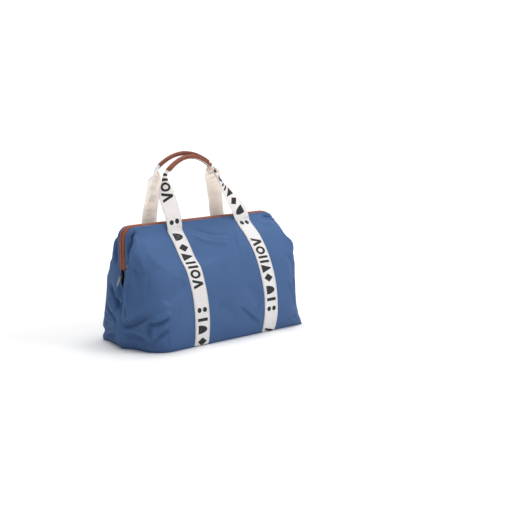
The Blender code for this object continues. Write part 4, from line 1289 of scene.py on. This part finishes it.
def build_piping(word, side):
    path = plain_path(0.0, side * PIPING_Y, PIPING_FOOT, 0.0025)
    rows = pinned(oval(PIPING_R, PIPING_R, 22), path, 31 + side, 0.035)
    for row, shrink in ((0, 0.55), (1, 0.85), (-2, 0.85), (-1, 0.55)):
        rows[row] = path[row] + (rows[row] - path[row]) * shrink
    tube = grid_object(f"{word}_piping_cord", rows, ring=True)
    fill_ends(tube, 22, len(path))
    paint(tube, PIPING_LEATHER)
    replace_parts(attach(tube, f"{word}_bow"), f"{word}_piping")
    _, normals = path_frames(path)
    turn = math.radians(52)
    lean = np.array([0, side * math.sin(turn), 0]) + normals * math.cos(turn)
    lines = [(path + lean * PIPING_R, lean)]
    sewing, _ = stitches(f"{word}_piping_stitching", lines, BROWN_THREAD, 0.0026, 0.0038, 0.0003)
    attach(sewing, f"{word}_bow")


def zip_tooth():
    """One tooth: a narrow block with a rounded head towards the middle."""
    half, neck, side = 0.0009, 0.0005, 0.0007
    edge = [(-half, -side), (neck, -side), (half, -0.0004), (half, 0.0004), (neck, side), (-half, side)]
    points = [(x, y, z) for z in (-half, half) for x, y in edge]
    count = len(edge)
    sides = [(i, (i + 1) % count, (i + 1) % count + count, i + count) for i in range(count)]
    return np.array(points), [tuple(range(count))[::-1], tuple(range(count, 2 * count))] + sides


def build_teeth(word, side):
    path = plain_path(TEETH_INSET, side * TEETH_Y, TEETH_FOOT, TEETH_PITCH)
    path = path[(0 if side == FRONT else 1):]
    tangents, normals = path_frames(path)
    tooth, tooth_faces = zip_tooth()
    points, faces = [], []
    towards = np.array([0.0, -side, 0.0])
    phase = 0.0 if side == FRONT else TEETH_PITCH / 2
    for place, tangent, normal in zip(path, tangents, normals):
        base = len(points)
        centre = place + tangent * phase
        points.extend(centre + tooth[:, :1] * towards + tooth[:, 1:2] * tangent + tooth[:, 2:] * normal)
        faces.extend([tuple(i + base for i in face) for face in tooth_faces])
    teeth = mesh_object(f"{word}_zip_tooth_row", points, faces, smooth_shaded=False)
    mend(teeth)
    paint(teeth, GUNMETAL)
    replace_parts(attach(teeth, f"{word}_bow"), f"{word}_zip_teeth")


def build_tape(word, side):
    near, far = (plain_path(TAPE_INSET, side * y, TEETH_FOOT, 0.004) for y in (TAPE_NEAR, TAPE_FAR))
    share = np.linspace(0, 1, 5)[None, :, None]
    rows = near[:, None] * (1 - share) + far[:, None] * share
    tape = grid_object(f"{word}_zip_tape_cloth", rows)
    thicken(tape, TAPE_THICK, 0)
    paint(tape, TAPE)
    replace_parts(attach(tape, f"{word}_bow"), f"{word}_zip_tape")


for word, side in SIDES:
    build_hem(word, side)
    build_piping(word, side)
    build_teeth(word, side)
    build_tape(word, side)


# ---------------------------------------------------------------- the zip's feet, the slider and the hinges
def rounded(node, width, material):
    """A node of the frame that keeps its shape, with its edges eased by a width and its own finish."""
    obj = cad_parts[node]
    if width:
        ease = obj.modifiers.new("eased_edges", "BEVEL")
        ease.width = width
        ease.segments = 3
        ease.limit_method = "ANGLE"
    paint(obj, material)


FOOT_TAPE_STRIPS = {"left": ((-0.01, -0.0009), (0.0009, 0.01)), "right": ((-0.01, 0.01),)}

for tag, end in ENDS:
    low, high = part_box(f"{tag}_zip_foot_tape")
    strips = []
    for near, far in FOOT_TAPE_STRIPS[tag]:
        heights = np.linspace(low[2], high[2], 14)
        across = np.linspace(near, far, 8)
        rows = np.array([[(low[0] + 0.00025, y, z) for y in across] for z in heights])
        strips.append(thicken(grid_object(f"{tag}_foot_strip", rows), 0.00045, 0))
    foot = join(f"{tag}_zip_foot_cloth", strips) if len(strips) > 1 else strips[0]
    foot.name = f"{tag}_zip_foot_cloth"
    paint(foot, TAPE)
    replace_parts(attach(foot, "shell"), f"{tag}_zip_foot_tape")
    rounded(f"{tag}_zip_stop", 0.0, GUNMETAL)
    rounded(f"{tag}_hinge_rivet", 0.0003, STEEL)

for word, _ in SIDES:
    rounded(f"{word}_bow", 0.0, STEEL)
rounded("zip_slider", 0.0004, GUNMETAL)
rounded("slider_bail", 0.0, GUNMETAL)
rounded("zip_pull_tab", 0.0003, STEEL)


# ---------------------------------------------------------------- handles
GRIPS = {
    FRONT: {"left": (-0.139, 0.455), "crown": (-0.06, 0.4945), "right": (0.019, 0.461), "y": 0.0115},
    REAR: {"left": (-0.151, 0.468), "crown": (-0.062, 0.5025), "right": (0.032, 0.47), "y": 0.0125},
}
LEG_STEPS, GRIP_STEPS, HANDLE_COLUMNS = 60, 70, 29
ROLL_RADIUS, ROLL_ACROSS, ROLL_OUT = 0.0054, 0.94, 0.58
ROLLED_WIDTH = 0.0325  # the rest of the webbing's width is folded away inside the roll
FOLD_START = {FRONT: 0.4, REAR: 0.66}  # how far up a leg the webbing starts to roll
LEG_PULLS = {FRONT: (0.04, 0.026), REAR: (0.02, 0.01)}  # how long a leg keeps its direction at foot and grip
# How far the outer face of each leg turns towards the right end on its way up, in radians.
LEG_TURN = {(FRONT, LEFT): -0.25, (FRONT, RIGHT): 0.8, (REAR, LEFT): -0.15, (REAR, RIGHT): 0.15}
# Which way the printed face looks once it is rolled, as (upwards, away from the middle of the bag).
ROLL_FACE = {FRONT: (0.92, 0.4), REAR: (0.95, 0.35)}
# The opening of the leather wrap, in the same terms, and its half width in radians.
WRAP_SLOT = {FRONT: (-0.9, 0.44), REAR: (0.8, 0.6)}
WRAP_OPEN = 0.5
ORANGE_INSIDE_ABOVE = 0.4  # where the webbing is rolled further than this, its inner face is coloured orange
HANDLE_MARKS = {FRONT: (0.003, 8, 1), REAR: (0.004, 3, 1)}  # as the straps' rows of marks


def bezier(points, steps):
    """Points along one Bezier curve of any order."""
    t = np.linspace(0, 1, steps + 1)[:, None]
    level = [np.asarray(p, float)[None] + 0 * t for p in points]
    while len(level) > 1:
        level = [a * (1 - t) + b * t for a, b in zip(level, level[1:])]
    return level[0]


def grip_path(side, steps=GRIP_STEPS):
    grip = GRIPS[side]
    a, b, c = (np.array((grip[k][0], side * grip["y"], grip[k][1])) for k in ("left", "crown", "right"))
    return bezier([a, 2 * b - (a + c) / 2, c], steps)


def leg_path(side, end):
    grip = grip_path(side, 20)
    tip, inner = (grip[0], grip[1]) if end == LEFT else (grip[-1], grip[-2])
    into = (tip - inner) / np.linalg.norm(tip - inner)
    foot = np.array((strap_x(side, end, HANDLE_AXIS_Z), side * HANDLE_AXIS_Y, HANDLE_AXIS_Z))
    rise = np.array((0.0, 0.0, 0.3)) + (tip - foot) / np.linalg.norm(tip - foot) * 0.7
    start, end_pull = LEG_PULLS[side]
    return bezier([foot, foot + rise * start, tip + into * end_pull, tip], LEG_STEPS)


def square_to(directions, tangents):
    """The directions turned square to the tangents."""
    return unit(directions - tangents * (directions * tangents).sum(axis=1, keepdims=True))


def roll_normals(path, side, facing):
    """A direction square to the path at each point, facing up and away from the bag's middle as given."""
    tangents, normals = path_frames(path)
    wanted = normals * facing[0] + np.array([0.0, side, 0.0]) * facing[1]
    return square_to(wanted, tangents), tangents


def handle_rows(side):
    """The webbing's middle surface, flat at both feet and rolled lengthwise along the grip.

    Also how rolled it is at each row, and the path it follows.
    """
    left, grip, right = leg_path(side, LEFT), grip_path(side), leg_path(side, RIGHT)
    path = np.concatenate([left[:-1], grip, right[-2::-1]])
    count = len(path)
    reach = from_ends(count) / LEG_STEPS
    fold = smooth((reach - FOLD_START[side]) / (1 - FOLD_START[side]))
    faced, tangents = roll_normals(path, side, ROLL_FACE[side])
    tangents[0], tangents[-1] = (0, 0, 1), (0, 0, -1)
    turned = np.where(np.arange(count) < count / 2, LEG_TURN[side, LEFT], LEG_TURN[side, RIGHT])
    turned = turned * smooth(reach / 0.8)
    flat = np.stack([np.sin(turned), side * np.cos(turned), turned * 0], axis=1)
    normals = square_to(flat * (1 - fold[:, None]) + faced * fold[:, None], tangents)
    across = np.cross(tangents, normals)
    shown = WEB_WIDTH + (ROLLED_WIDTH - WEB_WIDTH) * fold
    spread = np.maximum(1e-3, ROLLED_WIDTH / ROLL_RADIUS * fold)
    radius = shown / spread
    share = np.linspace(-0.5, 0.5, HANDLE_COLUMNS)
    angle = share[None, :] * spread[:, None]
    curl = 1 - 0.06 * fold[:, None] * (1 + 2 * share)[None, :] / 2
    wide = radius[:, None] * np.sin(angle) * (1 - (1 - ROLL_ACROSS) * fold[:, None]) * curl
    deep = radius[:, None] * (np.cos(angle) - 1) + (fold * ROLL_RADIUS)[:, None]
    deep *= (1 - (1 - ROLL_OUT) * fold[:, None]) * curl
    # A light wave and a shallow cup before the roll, as webbing takes when it is folded further up.
    ripple = 0.0016 * np.sin(reach * 9.0)[:, None] * (1 - fold[:, None]) * smooth(reach / 0.3)[:, None]
    rows = path[:, None] + across[:, None] * wide[..., None] + normals[:, None] * (deep + ripple)[..., None]
    return rows, fold, path


def both_faces(name, surface, normals, materials, tinted):
    """Webbing round its middle surface. The inner face has the second material, or the third where tinted."""
    made = ribbon(name, surface, normals, WEB_THICK, -WEB_THICK / 2)
    paint(made, *materials)
    columns = surface.shape[1]
    for polygon in made.data.polygons:
        if len(polygon.vertices) > 4:
            continue
        row = min(polygon.vertices) // (2 * columns)
        inner = np.mean([v % (2 * columns) for v in polygon.vertices]) > columns - 0.4
        edge = {v % (2 * columns) for v in polygon.vertices}
        if inner and not edge & {columns - 1, 0}:
            polygon.material_index = 2 if tinted[min(row, len(tinted) - 1)] else 1
    return made


def build_handle(word, side):
    rows, fold, path = handle_rows(side)
    normals = grid_normals(rows)
    middle = rows.shape[1] // 2
    if (normals[0, middle, 1] * side) < 0:
        normals = -normals
    faces = (WEBBING, WEBBING_GHOST, WEBBING_BACK)
    webbing = both_faces(f"{word}_handle_web", rows, normals, faces, fold > ORANGE_INSIDE_ABOVE)
    along = run(path)
    from_foot = np.minimum(along, along[-1] - along)
    shares = smooth((from_foot + 0.001) / 0.022)
    handle_bend(webbing)
    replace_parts(webbing, f"{word}_handle_webbing")
    cloth = Cloth(rows, normals, shares)
    lift = WEB_THICK / 2 + 0.0003
    marks, weights = print_marks(f"{word}_handle_print", cloth, *HANDLE_MARKS[side], lift)
    handle_bend(marks)
    along = np.linspace(0.001, cloth.length - 0.001, 260)
    lines = [cloth.line(np.full(260, across), along, WEB_THICK / 2) for across in EDGE_STITCHES]
    sewing, weights = stitches(f"{word}_handle_stitching", lines, CREAM_THREAD)
    handle_bend(sewing)
    build_wrap(word, side)


def handle_bend(obj):
    """Webbing between a bow and its handle, with its placing baked into its mesh."""
    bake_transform(obj)
    return obj


WRAP_GAP, WRAP_THICK, WRAP_STEPS = 0.0004, 0.0011, 34


def build_wrap(word, side):
    """Leather wrapped round the rolled webbing, its two edges stitched and standing a little apart."""
    path = grip_path(side, 80)[3:-3]
    slot, tangents = roll_normals(path, side, WRAP_SLOT[side])
    faced, _ = roll_normals(path, side, ROLL_FACE[side])
    widths = np.cross(tangents, faced)
    across_r = ROLL_RADIUS * ROLL_ACROSS + WEB_THICK / 2 + WRAP_GAP
    out_r = ROLL_RADIUS * ROLL_OUT + WEB_THICK / 2 + WRAP_GAP
    turn = np.arctan2((slot * widths).sum(axis=1), (slot * faced).sum(axis=1))
    angles = turn[:, None] + np.linspace(WRAP_OPEN, 2 * math.pi - WRAP_OPEN, WRAP_STEPS)[None, :]
    creases = lattice_noise(path * (1, 0, 1), 0.009, 5 + side) * 0.00025
    ends = smooth(from_ends(len(path)) / 2.5) * 0.00035
    swell = (creases + ends)[:, None]
    rows = (
        path[:, None]
        + widths[:, None] * (np.sin(angles) * (across_r + swell))[..., None]
        + faced[:, None] * (np.cos(angles) * (out_r + swell))[..., None]
    )
    facing = 1 if wrap_faces_out(rows, path) else -1
    leather = grid_object(f"{word}_grip_leather", rows)
    tidy = thicken(leather, WRAP_THICK, facing)
    rounding = tidy.modifiers.new("rounded_edges", "BEVEL")
    rounding.width = 0.0004
    rounding.segments = 2
    rounding.limit_method = "ANGLE"
    rounding.angle_limit = math.radians(50)
    apply_modifiers(tidy)
    tidy.data.shade_smooth()
    paint(tidy, GRIP_LEATHER)
    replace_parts(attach(tidy, f"{word}_handle"), f"{word}_grip_wrap")
    outer = grid_normals(rows) * facing
    lines = [(rows[:, k] + outer[:, k] * WRAP_THICK, outer[:, k]) for k in (2, -3)]
    sewing, _ = stitches(f"{word}_grip_stitching", lines, BROWN_THREAD, 0.0028, 0.004, 0.00032)
    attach(sewing, f"{word}_handle")


def wrap_faces_out(rows, path):
    middle = len(rows) // 2
    spot = rows.shape[1] // 2
    away = rows[middle, spot] - path[middle]
    return float((grid_normals(rows)[middle, spot] * away).sum()) > 0


for word, side in SIDES:
    build_handle(word, side)
    rounded(f"{word}_grip_core", 0.0, FOAM)


# ---------------------------------------------------------------- base and the inside
def outline_loop(z, inset, end_inset):
    front = outline(z, FRONT, inset, end_inset)
    rear = outline(z, REAR, inset, end_inset)
    return np.concatenate([front, rear[::-1]])


COVER_THICK = 0.0008


def flat_cover(name, z_low, z_high, inset, material, wave, seed):
    """A thin soft plate inside the base's outline, slightly uneven."""
    loop = outline_loop(BASE_TOP, inset, inset)
    centre = loop.mean(axis=0)
    rows = centre + (loop - centre) * np.linspace(1, 0.02, 26)[:, None, None]
    low, high = z_low + COVER_THICK / 2, z_high - COVER_THICK / 2
    bumps = lattice_noise(rows.reshape(-1, 3), 0.035, seed).reshape(rows.shape[:2])
    rows[:, :, 2] = np.clip((low + high) / 2 + bumps * wave, low, high)
    cover = grid_object(name, rows, ring=True, uvs=rows[:, :, :2])
    count = rows.shape[0] * rows.shape[1]
    mend(cover, range(count - rows.shape[1], count))
    thicken(cover, COVER_THICK, 0)
    paint(cover, material)
    return cover


def level_tube(path, tangents, half_width, half_height, sides):
    """Rings of points round a nearly level path."""
    turn = ring_angles(sides)
    out = np.cross(tangents, (0, 0, 1.0))
    rows = path[:, None] + out[:, None] * (np.cos(turn) * half_width)[None, :, None]
    rows[:, :, 2] += np.sin(turn) * half_height
    return rows


def build_base():
    cover = flat_cover("base_cover", 0.0, 0.0014, 0.001, CANVAS, 0.0003, 41)
    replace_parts(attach(cover, "shell"), "base_panel")
    low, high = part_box("base_lining")
    inner = flat_cover("base_inner", low[2], high[2] + 0.0006, 0.0062, LINING, 0.0006, 43)
    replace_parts(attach(inner, "shell"), "base_lining")
    rounded("base_board", 0.0, BOARD)
    loop = outline_loop(BASE_TOP, 0.0002, 0.0002)
    loop = resample(np.vstack([loop, loop[:1]]), 0.005)[:-1]
    loop[:, 2] = 0.0021
    tangents = unit(np.roll(loop, -1, axis=0) - np.roll(loop, 1, axis=0))
    rows = level_tube(loop, tangents, 0.0015, 0.0013, 10)
    rows = np.concatenate([rows, rows[:1]])
    welt = grid_object("base_welt", rows, ring=True)
    mend(welt)
    paint(welt, CANVAS)
    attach(welt, "shell")


build_base()


# ---------------------------------------------------------------- pockets
POCKET_HALF, POCKET_LOW, POCKET_HIGH = 0.186, 0.012, 0.118
POCKETS = {"bottle_pockets": (FRONT, 3, 0.062), "rear_pocket": (REAR, 1, 0.022)}  # side, how many, how deep
# Heights, and how far the shell is from the middle at each.
POCKET_BACK = ((0.0024, 0.02, 0.045, 0.085, 0.115, 0.15), (0.1235, 0.13, 0.1345, 0.1378, 0.1355, 0.128))
POCKET_SET_BACK, ELASTIC_R, GATHER_PITCH = 0.0105, 0.0016, 0.0125


def build_pocket(name, side, count, depth):
    """Elasticated pockets: cloth that bellies out between its seams and gathers under the rim."""
    heights = np.linspace(POCKET_LOW, POCKET_HIGH, 30)
    xs = np.linspace(-POCKET_HALF, POCKET_HALF, 192)
    x, z = np.meshgrid(xs, heights)
    phase = (x + POCKET_HALF) / (2 * POCKET_HALF) * count
    belly = np.sqrt(np.clip(np.sin(math.pi * (phase % 1)), 0, None))
    up = (z - POCKET_LOW) / (POCKET_HIGH - POCKET_LOW)
    back = np.interp(z, *POCKET_BACK) - POCKET_SET_BACK
    gathers = np.sin(x * 2 * math.pi / GATHER_PITCH + 0.8 * np.sin(x * 41.0)) * 0.0016
    gathers *= smooth((up - 0.35) / 0.65)
    sag = 0.004 * np.sin(math.pi * up) * belly
    y = side * (back - depth * belly * (0.75 + 0.25 * up) - sag + gathers * np.minimum(1, belly * 1.5))
    rows = np.stack([x, y, z], axis=-1)
    wall = grid_object(f"{name}_cloth", rows, flip=side == FRONT)
    thicken(wall, 0.0009, 0)
    paint(wall, LINING)
    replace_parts(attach(wall, "shell"), name)
    rim_path = rows[-1] + (0, 0, ELASTIC_R * 0.6)
    tangents = unit(np.gradient(rim_path, axis=0))
    rings = level_tube(rim_path, tangents, ELASTIC_R * 0.8, ELASTIC_R * 1.4, 12)
    rim = grid_object(f"{name}_band", rings, ring=True)
    fill_ends(rim, 12, len(rim_path))
    paint(rim, ELASTIC)
    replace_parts(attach(rim, "shell"), f"{name}_rim")


for name, (side, count, depth) in POCKETS.items():
    build_pocket(name, side, count, depth)


# ---------------------------------------------------------------- studio
def soft_light(name, place, aim, size, power):
    """A square area light that looks at a point."""
    data = bpy.data.lights.new(name, "AREA")
    data.shape = "SQUARE"
    data.size = size
    data.energy = power
    made = bpy.data.objects.new(name, data)
    bpy.context.scene.collection.objects.link(made)
    made.location = place
    made.rotation_euler = (Vector(aim) - Vector(place)).to_track_quat("-Z", "Y").to_euler()


FLOOR_RADIUS, WALL_RADIUS, WALL_HEIGHT, SIDES_ROUND = 2.2, 26.0, 30.0, 96
FLOOR_DROP = 0.0004  # just under the base, so the two don't lie in one plane


def build_surround():
    """A round floor, and beyond it a plain white bowl that glows by itself and throws no light on the bag."""
    ring = np.column_stack([oval(1.0, 1.0, SIDES_ROUND), np.zeros(SIDES_ROUND)])
    floor = mesh_object("floor", ring * FLOOR_RADIUS, [tuple(range(SIDES_ROUND))])
    paint(floor, floor_material())
    floor.location.z = -FLOOR_DROP
    rim, wall = ring * FLOOR_RADIUS - (0, 0, FLOOR_DROP), ring * WALL_RADIUS
    bowl = grid_object("surround", [rim, wall, wall + (0, 0, WALL_HEIGHT)], ring=True)
    white = Nodes("surround_white").set(
        Base_Color=(0, 0, 0), Emission_Color=(1, 1, 1), Emission_Strength=1.1, Roughness=1.0
    )
    paint(bowl, white)
    bowl.visible_diffuse = bowl.visible_glossy = bowl.visible_shadow = False


def build_studio():
    build_surround()
    world = bpy.data.worlds.new("studio")
    bpy.context.scene.world = world
    world.use_nodes = True
    background = world.node_tree.nodes["Background"]
    background.inputs["Color"].default_value = (1.0, 1.0, 1.0, 1)
    background.inputs["Strength"].default_value = 0.42
    bpy.context.scene.view_settings.view_transform = "Standard"
    soft_light("key", (1.4, -2.4, 2.4), (0, 0, 0.15), 1.4, 44)
    soft_light("top", (0.3, 0.2, 3.2), (0, 0, 0), 3.0, 90)


VIEW_HEADING, VIEW_PITCH = math.radians(43.3), math.radians(-9.9)
CAMERA_PLACE = (-1.901, -2.267, 0.7025)
LENS = 72.8


def build_camera():
    data = bpy.data.cameras.new("camera")
    data.lens = LENS
    data.sensor_width = 36.0
    made = bpy.data.objects.new("camera", data)
    bpy.context.scene.collection.objects.link(made)
    made.location = CAMERA_PLACE
    made.rotation_euler = (math.pi / 2 + VIEW_PITCH, 0, -VIEW_HEADING)
    bpy.context.scene.camera = made


build_studio()
build_camera()
